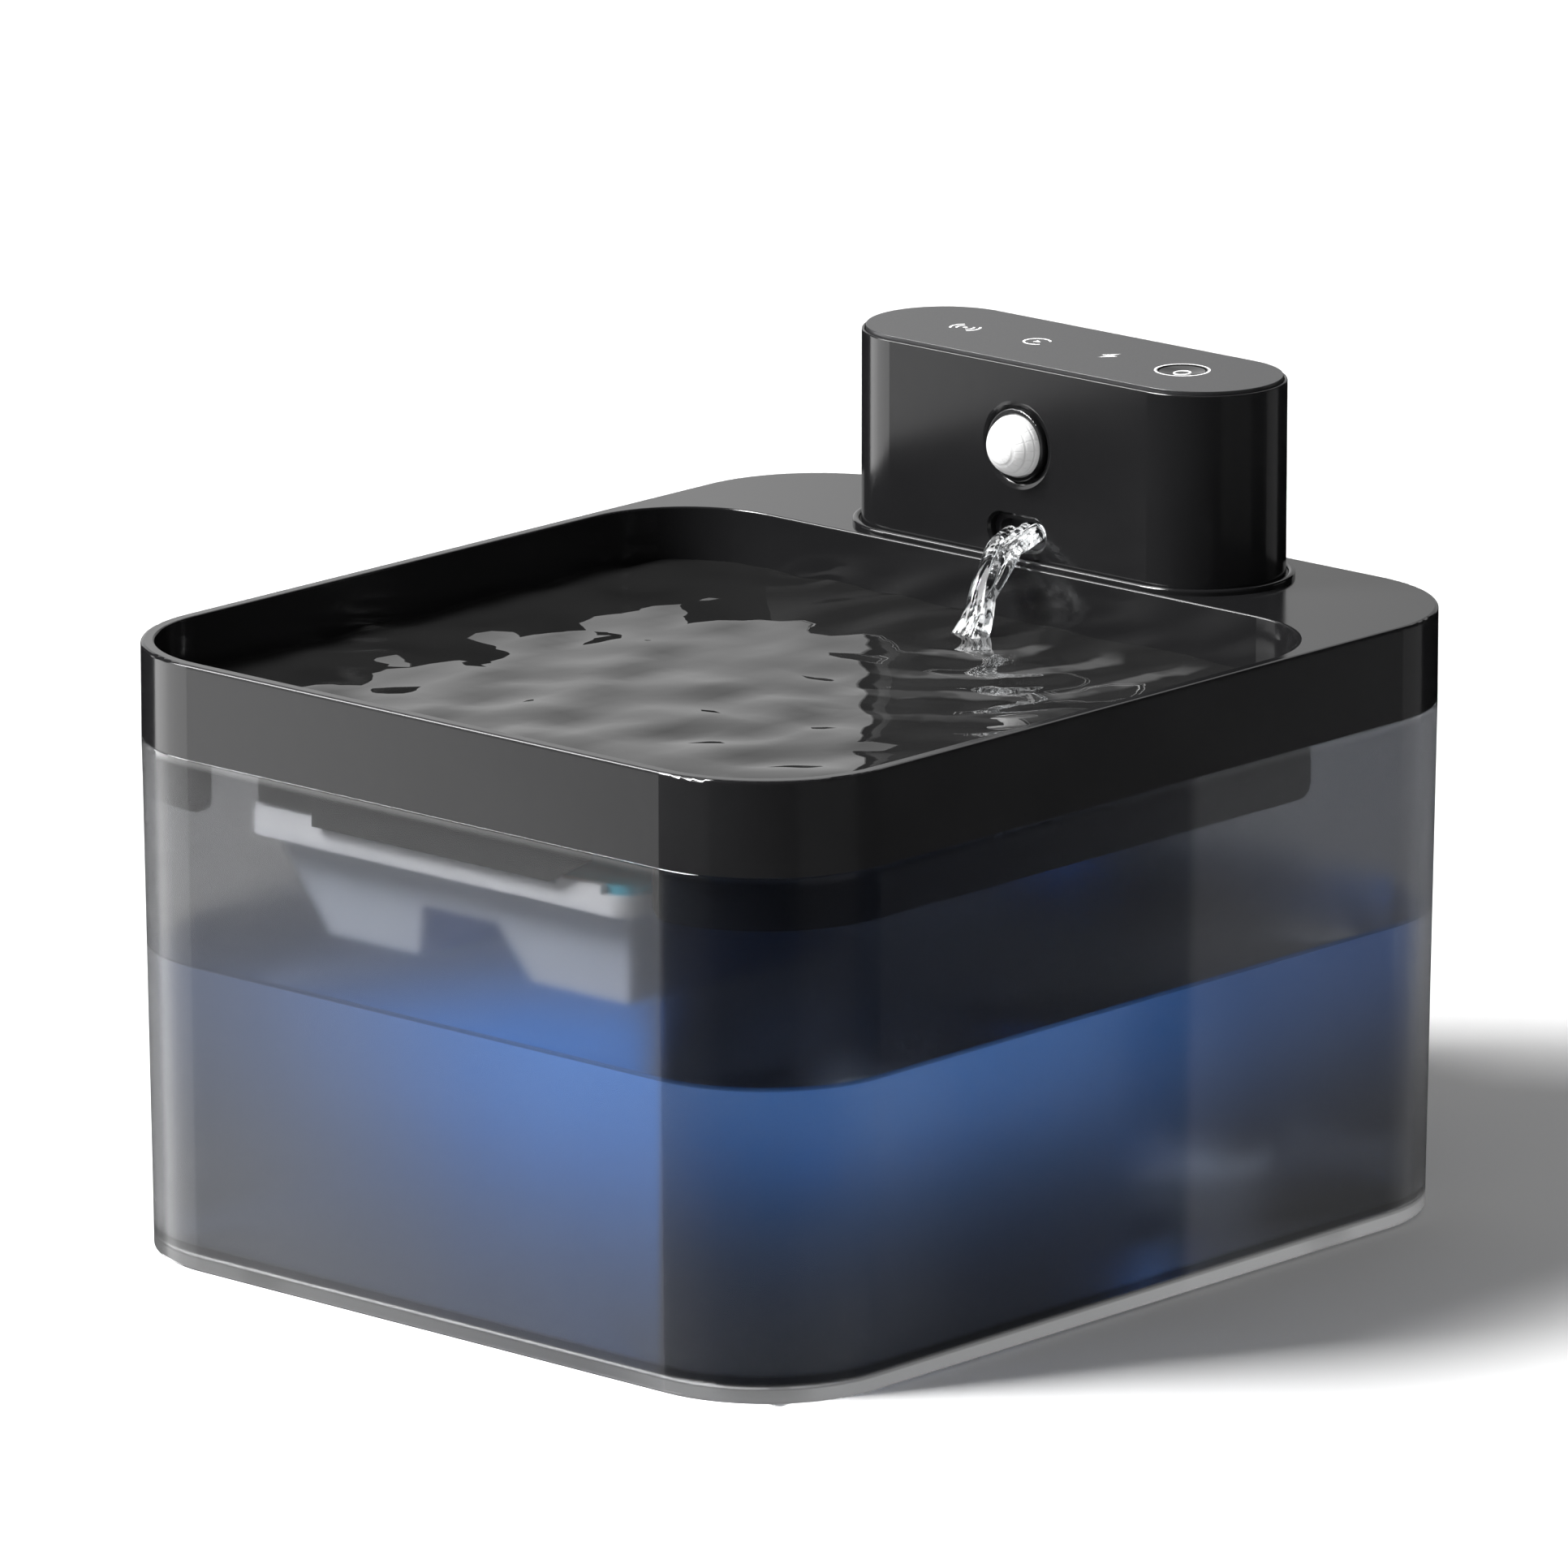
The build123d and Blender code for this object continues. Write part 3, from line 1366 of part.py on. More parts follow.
with BuildPart() as port_cap:
    with BuildSketch(facing_back(port_x, head_back - plug_cap_thickness, port_z)):
        RectangleRounded(
            port_recess_width - 2 * plug_cap_gap,
            port_recess_height - 2 * plug_cap_gap,
            port_recess_height / 2.2 - plug_cap_gap,
        )
    extrude(amount=plug_cap_thickness)
    fillet(port_cap.edges().group_by(Axis.Y)[-1], plug_cap_gap)
    with BuildSketch(facing_front(port_x, head_back - plug_cap_thickness, port_z)):
        RectangleRounded(plug_nub[0], plug_nub[1], plug_nub[1] / 2.2)
    extrude(amount=plug_nub[2])
port_cap.part.label = "port_cap"
export_step(port_cap.part, "parts/port_cap.step")
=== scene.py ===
import math
import random

import bpy
import numpy as np
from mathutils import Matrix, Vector


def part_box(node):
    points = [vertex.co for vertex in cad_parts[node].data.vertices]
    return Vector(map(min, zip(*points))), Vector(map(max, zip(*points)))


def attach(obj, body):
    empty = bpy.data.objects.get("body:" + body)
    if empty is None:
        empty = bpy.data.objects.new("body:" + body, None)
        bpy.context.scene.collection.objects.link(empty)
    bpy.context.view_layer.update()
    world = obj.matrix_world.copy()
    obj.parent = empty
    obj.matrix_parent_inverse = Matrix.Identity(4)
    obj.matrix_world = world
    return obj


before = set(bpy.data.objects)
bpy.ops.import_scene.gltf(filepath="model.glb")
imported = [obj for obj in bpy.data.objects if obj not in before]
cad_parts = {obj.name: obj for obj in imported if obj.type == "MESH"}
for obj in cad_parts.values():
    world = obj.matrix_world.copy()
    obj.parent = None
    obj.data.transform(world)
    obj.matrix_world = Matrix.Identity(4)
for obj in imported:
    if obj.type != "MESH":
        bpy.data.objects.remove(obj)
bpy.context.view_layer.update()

bl_info = {
    "name": "Pet Water Fountain",
    "version": (1, 0, 0),
    "blender": (4, 5, 0),
    "location": "View3D > Sidebar > Fountain",
    "description": "Finishes, water and studio for a battery pet water fountain",
    "category": "Object",
}

IMAGE_SIDE = 1932
# Strength of the painted glow in the tank's water.
GLOW_STRENGTH = 1.3
ORANGE_PEEL = 0.000004

# The tank's walls, which draw in slightly towards the foot.
TANK_WALL = 0.0024
TANK_FLOOR = 0.0030
TANK_CORNER = 0.0324
TANK_TOP = 0.1133
TANK_LEAN = 0.0016 / 0.1128

# The inside of the drinking basin.
BASIN_HALF_WIDTH = 0.0970
BASIN_FRONT = -0.11225
BASIN_BACK = 0.0693
BASIN_FLOOR = 0.1155
BASIN_FRONT_RADIUS = 0.0294
BASIN_BACK_RADIUS = 0.0265
BASIN_FOOT_RADIUS = 0.0049

# The upright plane at which the lamp's painted light ends: where it meets the tank's front, and
# its slant.
BEAM_START = 0.0685
BEAM_SLANT = math.radians(42)
BEAM_BLUR = 0.001


# ---------------------------------------------------------------- settings
class FountainSizes(bpy.types.PropertyGroup):
    """Sizes of the water and its waves."""

    basin_level: bpy.props.FloatProperty(
        name="Basin water level",
        description="Height of the drinking water above the floor",
        default=0.1217,
        unit="LENGTH",
    )
    basin_gap: bpy.props.FloatProperty(
        name="Basin water gap",
        description="Clearance between the drinking water and the basin's walls",
        default=0.00008,
        unit="LENGTH",
    )
    tank_level: bpy.props.FloatProperty(
        name="Tank water level",
        description="Height of the water in the tank above the floor",
        default=0.0681,
        unit="LENGTH",
    )
    tank_gap: bpy.props.FloatProperty(
        name="Tank water gap",
        description="Clearance between the tank's water and its walls",
        default=0.00015,
        unit="LENGTH",
    )
    ripple_height: bpy.props.FloatProperty(
        name="Ripple height",
        description="Height of the rings round the falling stream",
        default=0.00048,
        unit="LENGTH",
    )
    ripple_length: bpy.props.FloatProperty(
        name="Ripple length",
        description="Distance from one ring to the next",
        default=0.0185,
        unit="LENGTH",
    )
    swell_slope: bpy.props.FloatProperty(
        name="Swell slope",
        description="Steepness of the small waves that cross the basin",
        default=0.080,
        min=0.0,
        max=0.2,
    )
    landing: bpy.props.FloatVectorProperty(
        name="Landing point",
        description="Where the stream meets the drinking water",
        default=(0.0032, 0.0520, 0.1217),
        size=3,
        subtype="TRANSLATION",
    )
    strand_radius: bpy.props.FloatProperty(
        name="Strand radius",
        description="Radius of each strand of the stream",
        default=0.00135,
        unit="LENGTH",
    )
    strand_count: bpy.props.IntProperty(
        name="Strands",
        description="Number of strands that twist into the stream",
        default=7,
        min=3,
        max=12,
    )


class FountainColours(bpy.types.PropertyGroup):
    """Colours of the plastics and the light."""

    gloss_black: bpy.props.FloatVectorProperty(
        name="Gloss black",
        description="Polished black plastic of the tray and head",
        default=(0.0085, 0.0085, 0.009),
        size=3,
        subtype="COLOR",
        min=0.0,
        max=1.0,
    )
    smoke: bpy.props.FloatVectorProperty(
        name="Smoke",
        description="Tint of the see-through tank",
        default=(0.32, 0.323, 0.33),
        size=3,
        subtype="COLOR",
        min=0.0,
        max=1.0,
    )
    filter_white: bpy.props.FloatVectorProperty(
        name="Filter white",
        description="Milky plastic of the filter box",
        default=(0.80, 0.81, 0.83),
        size=3,
        subtype="COLOR",
        min=0.0,
        max=1.0,
    )
    cartridge: bpy.props.FloatVectorProperty(
        name="Cartridge",
        description="Moulded halves of the filter cartridge",
        default=(0.0, 0.60, 0.85),
        size=3,
        subtype="COLOR",
        min=0.0,
        max=1.0,
    )
    glow: bpy.props.FloatVectorProperty(
        name="Glow",
        description="Light of the lamp in the pump column",
        default=(0.008, 0.27, 1.0),
        size=3,
        subtype="COLOR",
        min=0.0,
        max=1.0,
    )


def sizes():
    """The size settings of the scene."""
    return bpy.context.scene.fountain_sizes


def colours():
    """The colour settings of the scene."""
    return bpy.context.scene.fountain_colours


# ---------------------------------------------------------------- shader maths
class Wire:
    """A value that runs through a material, with the usual arithmetic."""

    def __init__(self, finish, socket):
        self.finish = finish
        self.socket = socket

    def calculate(self, operation, *others):
        values = {0: self}
        for place, other in enumerate(others, start=1):
            values[place] = other
        return self.finish.add("ShaderNodeMath", {"operation": operation}, values)

    def __add__(self, other):
        return self.calculate("ADD", other)

    __radd__ = __add__

    def __sub__(self, other):
        return self.calculate("SUBTRACT", other)

    def __rsub__(self, other):
        return self.calculate("MULTIPLY_ADD", -1.0, other)

    def __mul__(self, other):
        return self.calculate("MULTIPLY", other)

    __rmul__ = __mul__

    def sine(self):
        return self.calculate("SINE")

    def root(self):
        return self.calculate("SQRT")

    def above(self, limit):
        return self.calculate("GREATER_THAN", limit)

    def below(self, limit):
        return self.calculate("LESS_THAN", limit)

    def part(self):
        return self.calculate("FRACT")

    def step(self, low, high, start=0.0, end=1.0):
        """A smooth step from start to end as the value goes from low to high."""
        return self.finish.add(
            "ShaderNodeMapRange",
            {"interpolation_type": "SMOOTHSTEP", "clamp": True},
            {0: self, 1: low, 2: high, 3: start, 4: end},
        )


class Finish:
    """One procedural material on the usual surface shader."""

    def __init__(self, name, **plain):
        self.material = bpy.data.materials.new(name)
        self.material.use_nodes = True
        self.tree = self.material.node_tree
        self.surface = self.tree.nodes["Principled BSDF"]
        for name_of_input, value in plain.items():
            self.set(name_of_input.replace("_", " ").title(), value)

    def set(self, input_name, value):
        names = {"Ior": "IOR", "Specular Ior Level": "Specular IOR Level"}
        socket = self.surface.inputs[names.get(input_name, input_name)]
        self.put(socket, value)

    def put(self, socket, value):
        """Gives a socket a wire, a colour or a plain value."""
        if isinstance(value, Wire):
            self.tree.links.new(value.socket, socket)
        elif hasattr(value, "__len__") and len(value) == 3 and len(socket.default_value) == 4:
            socket.default_value = (*value, 1.0)
        else:
            socket.default_value = value

    def add(self, kind, settings, inputs, output=0):
        """Adds a node and gives one of its outputs."""
        node = self.tree.nodes.new(kind)
        for setting, value in settings.items():
            setattr(node, setting, value)
        for name, value in inputs.items():
            self.put(node.inputs[name], value)
        return Wire(self, node.outputs[output])

    def place(self):
        """The object's own coordinates, in metres."""
        return self.add("ShaderNodeTexCoord", {}, {}, "Object")

    def along(self, axis):
        """One of the object's coordinates, 0 for X to 2 for Z."""
        return self.add("ShaderNodeSeparateXYZ", {}, {0: self.place()}, axis)

    def grain(self, scale, detail=2.0, roughness=0.5, where=None):
        return self.add(
            "ShaderNodeTexNoise",
            {},
            {
                "Vector": where or self.place(),
                "Scale": scale,
                "Detail": detail,
                "Roughness": roughness,
            },
            "Fac",
        )

    def cells(self, scale, output="Distance"):
        return self.add(
            "ShaderNodeTexVoronoi", {}, {"Vector": self.place(), "Scale": scale}, output
        )

    def blend(self, amount, first, second):
        """A colour that goes from first to second."""
        return self.add(
            "ShaderNodeMix",
            {"data_type": "RGBA"},
            {0: amount, 6: first, 7: second},
            2,
        )

    def bump(self, height, distance):
        normal = self.add("ShaderNodeBump", {}, {"Height": height, "Distance": distance})
        self.set("Normal", normal)

    def glow(self, colour, strength=1.0):
        self.set("Emission Color", colour)
        self.set("Emission Strength", strength)

    def distance_from(self, x, y, z, stretch=(1.0, 1.0, 1.0)):
        """Distance from a point, with each axis stretched first."""
        total = None
        for axis, centre in enumerate((x, y, z)):
            if stretch[axis] == 0:
                continue
            offset = (self.along(axis) - centre) * stretch[axis]
            square = offset * offset
            total = square if total is None else total + square
        return total.root()


def grey(level):
    """A neutral colour."""
    return (level, level, level)


def moulded(name, colour, roughness, specular=0.5):
    """Moulded plastic: a faint unevenness of gloss and a slight orange peel."""
    finish = Finish(name, ior=1.5, specular_ior_level=specular)
    haze = finish.grain(38.0, 3.0)
    fine = finish.grain(900.0, 2.0)
    lighter = tuple(min(1.0, channel * 1.25 + 0.002) for channel in colour)
    finish.set("Base Color", finish.blend(haze, colour, lighter))
    uneven = haze * (roughness * 0.35) + fine * (roughness * 0.15)
    finish.set("Roughness", uneven + roughness * 0.75)
    finish.bump(finish.grain(260.0, 1.0), ORANGE_PEEL)
    return finish


def make_gloss_black():
    return moulded("gloss_black", colours().gloss_black, 0.15)


def make_tray_black():
    return moulded("tray_black", colours().gloss_black, 0.13)


def make_panel_satin():
    finish = Finish("panel_satin", ior=1.5, specular_ior_level=0.55)
    spark = finish.grain(2600.0, 2.0, 0.7)
    finish.set("Base Color", finish.blend(spark, (0.020, 0.020, 0.021), (0.034, 0.034, 0.036)))
    finish.set("Roughness", spark * 0.12 + 0.24)
    finish.bump(spark, 0.000006)
    return finish


def make_smoke():
    """Smoky plastic, frosted below its polished lip, with painted shade above the water past the
    beam, painted dark lines and a painted glow.
    """
    finish = Finish("smoke_clear", transmission_weight=1.0, ior=1.45)
    finish.set("Specular IOR Level", 0.3)
    haze = finish.grain(22.0, 3.0)
    across, depth, height = (finish.along(axis) for axis in range(3))
    level = sizes().tank_level
    beam = before_beam(finish)
    past = 1.0 - beam

    base = colours().smoke
    deeper = tuple(channel * 0.94 for channel in base)
    # Painted shade: the wall is darker above the water past the beam, most at the front right.
    painted_shade_tint = (0.04, 0.055, 0.09)
    painted_shade = height.above(level) * (past * across.step(-0.020, 0.060))
    painted_shade = painted_shade * depth.step(-0.080, 0.060, 0.85, 0.35)
    tint = finish.blend(painted_shade, finish.blend(haze, deeper, base), painted_shade_tint)
    # Painted shade: dark lines on the wall at the water line and from 3.6 to 6.4 mm above the
    # floor.
    water_line = height.above(level - 0.00035) - height.above(level + 0.00015)
    line = water_line + height.above(0.0036) - height.above(0.0064)
    finish.set("Base Color", finish.blend(line * 0.8, tint, grey(0.06)))

    lip = height.step(0.1110, 0.1128)
    finish.set("Roughness", lip * -0.19 + haze * 0.03 + 0.22)
    finish.set("Coat Weight", lip)

    # Painted light: the wall glows below the water within the beam, more to the left, at its
    # foot, and at the rear past the beam.
    wet = height.below(level) * across.step(0.050, -0.060, 0.2, 1.0)
    foot = height.step(0.0046, 0.0040)
    rear = depth.step(0.013, 0.018) * past
    painted_glow = wet * beam * 0.026 + foot * (beam * -0.045 + 0.070) + rear * 0.012
    finish.glow(finish.blend(painted_glow, grey(0.0), grey(1.0)))
    return finish


def make_filter_white():
    """Milky plastic, with painted shade that makes it darker and bluer towards the bottom and
    whiter towards the flange.
    """
    finish = Finish("filter_white", transmission_weight=0.15, ior=1.46)
    cloud = finish.grain(60.0, 3.0)
    _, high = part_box("filter_box")
    # Painted shade: darker and bluer from the flange down to the bottom of the box.
    rise = finish.along(2).step(high.z - 0.014, high.z - 0.003)
    body = finish.blend(rise, (0.40, 0.44, 0.52), colours().filter_white)
    finish.set("Base Color", finish.blend(cloud * 0.1, body, grey(0.70)))
    finish.set("Roughness", cloud * 0.1 + 0.34)
    finish.bump(finish.grain(700.0, 2.0), 0.00001)
    return finish


def make_cartridge():
    finish = Finish("cartridge_cyan", ior=1.46)
    cloud = finish.grain(80.0, 3.0)
    base = colours().cartridge
    finish.set("Base Color", finish.blend(cloud, base, (0.02, 0.68, 0.92)))
    finish.set("Roughness", cloud * 0.1 + 0.38)
    finish.bump(finish.grain(900.0, 2.0), 0.00001)
    return finish


def make_media():
    """Charcoal and resin grains."""
    finish = Finish("filter_media", ior=1.45)
    pick = finish.cells(900.0, output="Color")
    edge = finish.cells(900.0)
    level = finish.add("ShaderNodeSeparateXYZ", {}, {0: pick}, 0)
    finish.set("Base Color", finish.blend(level.above(0.62), grey(0.02), (0.72, 0.62, 0.42)))
    finish.set("Roughness", edge * 0.3 + 0.6)
    finish.bump(1.0 - edge, 0.0004)
    return finish


def make_rubber():
    finish = Finish("rubber_black", ior=1.5, specular_ior_level=0.35)
    dust = finish.grain(420.0, 4.0, 0.6)
    finish.set("Base Color", finish.blend(dust, grey(0.018), grey(0.040)))
    finish.set("Roughness", dust * 0.2 + 0.62)
    finish.bump(dust, 0.00003)
    return finish


def make_seal():
    finish = Finish("seal_grey", ior=1.42, subsurface_weight=0.05)
    dust = finish.grain(300.0, 3.0)
    finish.set("Base Color", finish.blend(dust, grey(0.16), grey(0.22)))
    finish.set("Roughness", dust * 0.1 + 0.5)
    return finish


def make_steel(name="steel"):
    finish = Finish(name, metallic=1.0)
    turned = finish.grain(1800.0, 2.0)
    finish.set("Base Color", finish.blend(turned, grey(0.42), grey(0.62)))
    finish.set("Roughness", turned * 0.15 + 0.22)
    finish.bump(turned, 0.000006)
    return finish


def make_lens_white():
    """Milky dome with the fine steps of its segments, painted shade in their grooves and a
    painted glow.
    """
    finish = Finish("lens_white", ior=1.5, subsurface_weight=0.25)
    finish.surface.inputs["Subsurface Radius"].default_value = (0.002, 0.002, 0.002)
    finish.surface.inputs["Subsurface Scale"].default_value = 1.0
    lens_low, lens_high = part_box("pir_lens")
    middle_z = (lens_low.z + lens_high.z) / 2
    step_pitch = 0.0019
    steps = (finish.along(1) * (1 / step_pitch)).part()
    groove = steps.step(0.02, 0.20) - steps.step(0.86, 1.0)
    turn = finish.add(
        "ShaderNodeMath",
        {"operation": "ARCTAN2"},
        {0: finish.along(2) - middle_z, 1: finish.along(0)},
    )
    segments = 18
    spokes = (turn * (segments / 2 / math.pi)).part() - 0.5
    spokes = spokes.calculate("ABSOLUTE").step(0.40, 0.50)
    # The step pattern sets roughness and bump, and paints shade: darker in the grooves and along
    # the spokes.
    shade = groove * (1.0 - spokes * 0.6)
    finish.set("Base Color", finish.blend(shade, grey(0.72), grey(0.84)))
    finish.set("Roughness", shade * -0.12 + 0.36)
    finish.bump(shade, 0.00006)
    # Painted light: the dome glows, more on the faces of its steps than in the grooves.
    finish.glow(finish.blend(shade, grey(0.14), grey(0.20)))
    return finish


def make_print_white():
    """White print with a faint painted glow."""
    finish = Finish("print_white", ior=1.45)
    worn = finish.grain(1500.0, 3.0)
    finish.set("Base Color", finish.blend(worn, grey(0.72), grey(0.86)))
    finish.set("Roughness", worn * 0.1 + 0.42)
    # Painted light: the print glows faintly.
    finish.glow(finish.blend(worn, grey(0.60), grey(0.72)), 0.55)
    return finish


def make_ring_print():
    """The key's ring: a thin white line round a black face."""
    finish = Finish("ring_print", ior=1.5)
    low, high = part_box("power_ring")
    centre = (low + high) / 2
    away = finish.distance_from(centre.x, centre.y, 0.0, (1.0, 1.0, 0.0))
    inner_edge = (high.x - low.x) / 2 - 0.00050
    white = away.step(inner_edge - 0.00005, inner_edge + 0.00005)
    finish.set("Base Color", finish.blend(white, grey(0.012), grey(0.80)))
    finish.set("Roughness", white * 0.25 + 0.20)
    # Painted light: the white line glows faintly.
    finish.glow(finish.blend(white, grey(0.0), grey(0.38)))
    return finish


def make_inner_black():
    return moulded("inner_black", (0.020, 0.020, 0.022), 0.34, specular=0.45)


def make_clear_lens():
    finish = Finish("clear_lens", transmission_weight=0.8, ior=1.49)
    cloud = finish.grain(300.0, 1.0).step(0.3, 0.7)
    finish.set("Base Color", finish.blend(cloud, (0.55, 0.66, 0.95), (0.80, 0.87, 1.0)))
    finish.set("Roughness", cloud * 0.1 + 0.15)
    finish.glow(finish.blend(cloud, colours().glow, (0.10, 0.30, 1.0)), 1.2)
    return finish


def make_silicone():
    finish = Finish("silicone_clear", transmission_weight=0.55, ior=1.41)
    cloud = finish.grain(150.0, 2.0)
    finish.set("Base Color", finish.blend(cloud, (0.78, 0.80, 0.80), (0.88, 0.89, 0.88)))
    finish.set("Roughness", cloud * 0.15 + 0.28)
    return finish


def make_board():
    """Varnished circuit board with copper runs and bare pads."""
    finish = Finish("board_green", ior=1.5)
    lanes = (finish.along(0) * 420.0 + finish.grain(60.0, 0.0) * 3.0).part()
    run = lanes.above(0.72)
    pads = finish.cells(260.0).below(0.17)
    green = finish.blend(run, (0.010, 0.105, 0.045), (0.022, 0.20, 0.085))
    finish.set("Base Color", finish.blend(pads, green, (0.62, 0.60, 0.55)))
    finish.set("Metallic", pads * 0.9)
    finish.set("Roughness", pads * 0.1 + 0.24)
    finish.bump(run + pads, 0.00003)
    return finish


def make_cell_wrap():
    """Shrink film on the battery, with its silver ends."""
    finish = Finish("cell_wrap", ior=1.5)
    low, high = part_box("battery_cell")
    across = finish.along(0)
    end = across.above(high.x - 0.0012) + across.below(low.x + 0.0006)
    band = across.above(high.x - 0.010) - across.above(high.x - 0.0085)
    film = finish.blend(finish.grain(90.0, 3.0), (0.015, 0.12, 0.36), (0.03, 0.17, 0.46))
    striped = finish.blend(band, film, grey(0.75))
    finish.set("Base Color", finish.blend(end, striped, grey(0.60)))
    finish.set("Metallic", end)
    finish.set("Roughness", finish.grain(300.0) * 0.12 + 0.20)
    finish.bump(finish.grain(240.0, 3.0), 0.00003)
    return finish


def make_copper():
    """Enamelled wire, wound round the shaft's axis, with painted shade between the turns."""
    finish = Finish("copper_wire", metallic=1.0)
    wire_pitch = 0.00045
    turns = (finish.along(0) * (1 / wire_pitch)).part()
    crown = (turns - 0.5).calculate("ABSOLUTE").step(0.15, 0.5)
    # Painted shade: the wire is darker where its turns meet.
    finish.set("Base Color", finish.blend(crown, (0.72, 0.30, 0.12), (0.22, 0.07, 0.03)))
    finish.set("Roughness", crown * 0.25 + 0.24)
    finish.bump(1.0 - crown, 0.0002)
    return finish


def make_sponge():
    finish = Finish("sponge_grey", ior=1.35, specular_ior_level=0.2)
    pores = finish.cells(700.0)
    small = finish.cells(1500.0)
    open_pore = pores.step(0.08, 0.42)
    # Painted shade: the pores are much darker than the foam round them.
    finish.set("Base Color", finish.blend(open_pore, grey(0.006), grey(0.075)))
    finish.set("Roughness", small * 0.1 + 0.85)
    finish.bump(open_pore + small * 0.4, 0.0007)
    return finish


def make_can_metal():
    return make_steel("can_metal")


def make_water(name, tint, clear=1.0):
    """Water with the given tint; less clear where it lies over a dark floor, which paints that
    floor's shade into it.
    """
    finish = Finish(name, transmission_weight=clear, ior=1.333)
    drift = finish.grain(14.0, 2.0)
    deeper = tuple(channel * 0.95 for channel in tint)
    finish.set("Base Color", finish.blend(drift, deeper, tint))
    finish.set("Roughness", drift * 0.01)
    return finish


def make_basin_water():
    """Drinking water painted dark, with a painted glow where its rings catch the light beside the
    stream.
    """
    # Painted shade: the water is dark and only half clear.
    finish = make_water("drinking_water", grey(0.028), 0.5)
    setup = sizes()
    landing_x, landing_y, _ = setup.landing
    right = finish.along(0) - landing_x
    back = finish.along(1) - landing_y
    away = (right * right + back * back).root() + finish.grain(70.0, 2.0) * 0.008
    ring = (away * (2 * math.pi / setup.ripple_length)).sine().step(0.30, 0.90)
    turn = finish.add("ShaderNodeMath", {"operation": "ARCTAN2"}, {0: back, 1: right})
    sector = turn.step(-1.45, -1.15) * turn.step(0.30, 0.0)
    reach = away.step(0.012, 0.022) * away.step(0.090, 0.060)
    # Painted highlight: the rings glow in a sector beside the stream.
    gleam = ring * sector * reach * finish.grain(120.0, 1.0).step(0.35, 0.55, 0.35, 1.0)
    finish.glow(finish.blend(gleam, grey(0.0), grey(0.09)))
    return finish


def make_stream_water():
    """Falling water with painted glints: white streaks that glow where it breaks up."""
    finish = make_water("stream_water", (0.90, 0.93, 0.95))
    stretch = (900, 500, 70)
    stretched = finish.add(
        "ShaderNodeVectorMath", {"operation": "MULTIPLY"}, {0: finish.place(), 1: stretch}
    )
    # Painted highlight: white streaks glow near the spout and near the landing.
    streak = finish.grain(1.0, 2.0, 0.6, stretched).step(0.53, 0.60)
    height = finish.along(2)
    broken = height.step(0.1350, 0.1390) + height.step(0.1300, 0.1255)
    finish.glow(finish.blend(streak * broken, grey(0.0), grey(0.75)))
    return finish


def fall_off(distance, reach):
    """A smooth bell: 1 at the middle and 0.37 at the reach."""
    return (distance * distance * -(1 / reach**2)).calculate("EXPONENT")


def across_beam(finish):
    """Distance past the upright plane at which the lamp's painted light ends."""
    low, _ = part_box("tank")
    across = (finish.along(0) - BEAM_START) * math.cos(BEAM_SLANT)
    return across + (finish.along(1) - low.y) * math.sin(BEAM_SLANT)


def before_beam(finish):
    """1 within the lamp's painted light and 0 past its end."""
    return across_beam(finish).step(BEAM_BLUR, -BEAM_BLUR)


def make_lit_water():
    """The tank's water with painted light: a blue glow from its front and right; painted shade
    past the beam below its surface, and a painted dark line round its edge.
    """
    finish = Finish("tank_water", transmission_weight=1.0, ior=1.333)
    drift = finish.grain(14.0, 2.0)
    level = sizes().tank_level
    height = finish.along(2)
    # Painted shade: a dark line just below the water's surface.
    edge = height.step(level - 0.0010, level - 0.0004) - height.above(level - 0.00001)
    low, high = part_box("tank")
    beam = before_beam(finish)
    # Painted light: a blue glow near the front within the beam, near the right past it, and on
    # the surface.
    side = height.below(level - 0.00001)
    front_light = finish.distance_from(0.045, low.y, level, (1.0, 0.6, 2.1))
    right_light = finish.distance_from(high.x, -0.060, level, (0.6, 0.7, 3.6))
    top_light = finish.distance_from(0.030, low.y + 0.005, level)
    front = fall_off(front_light, 0.084) * beam
    wall = front + fall_off(right_light, 0.100) * (1.0 - beam) * 0.52
    soft_beam = across_beam(finish).step(0.003, -0.007)
    top = fall_off(top_light, 0.062) * soft_beam * 0.9
    amount = wall * side + top * (1.0 - side)
    clear = finish.blend(drift, (0.56, 0.59, 0.63), (0.62, 0.64, 0.68))
    # Painted shade below the surface past the beam, then a painted blue where the glow is, and
    # the painted dark line.
    clear = finish.blend((1.0 - beam) * side, clear, (0.24, 0.28, 0.36))
    body = finish.blend(amount * 0.75, clear, (0.10, 0.34, 0.80))
    finish.set("Base Color", finish.blend(edge * 0.85, body, grey(0.04)))
    finish.set("Roughness", drift * 0.02 + 0.02)
    cloud = finish.grain(26.0, 2.0) * 0.2 + 0.9
    # Painted light: the water glows blue.
    finish.glow(finish.blend(amount * cloud, grey(0.0), colours().glow), GLOW_STRENGTH)
    return finish


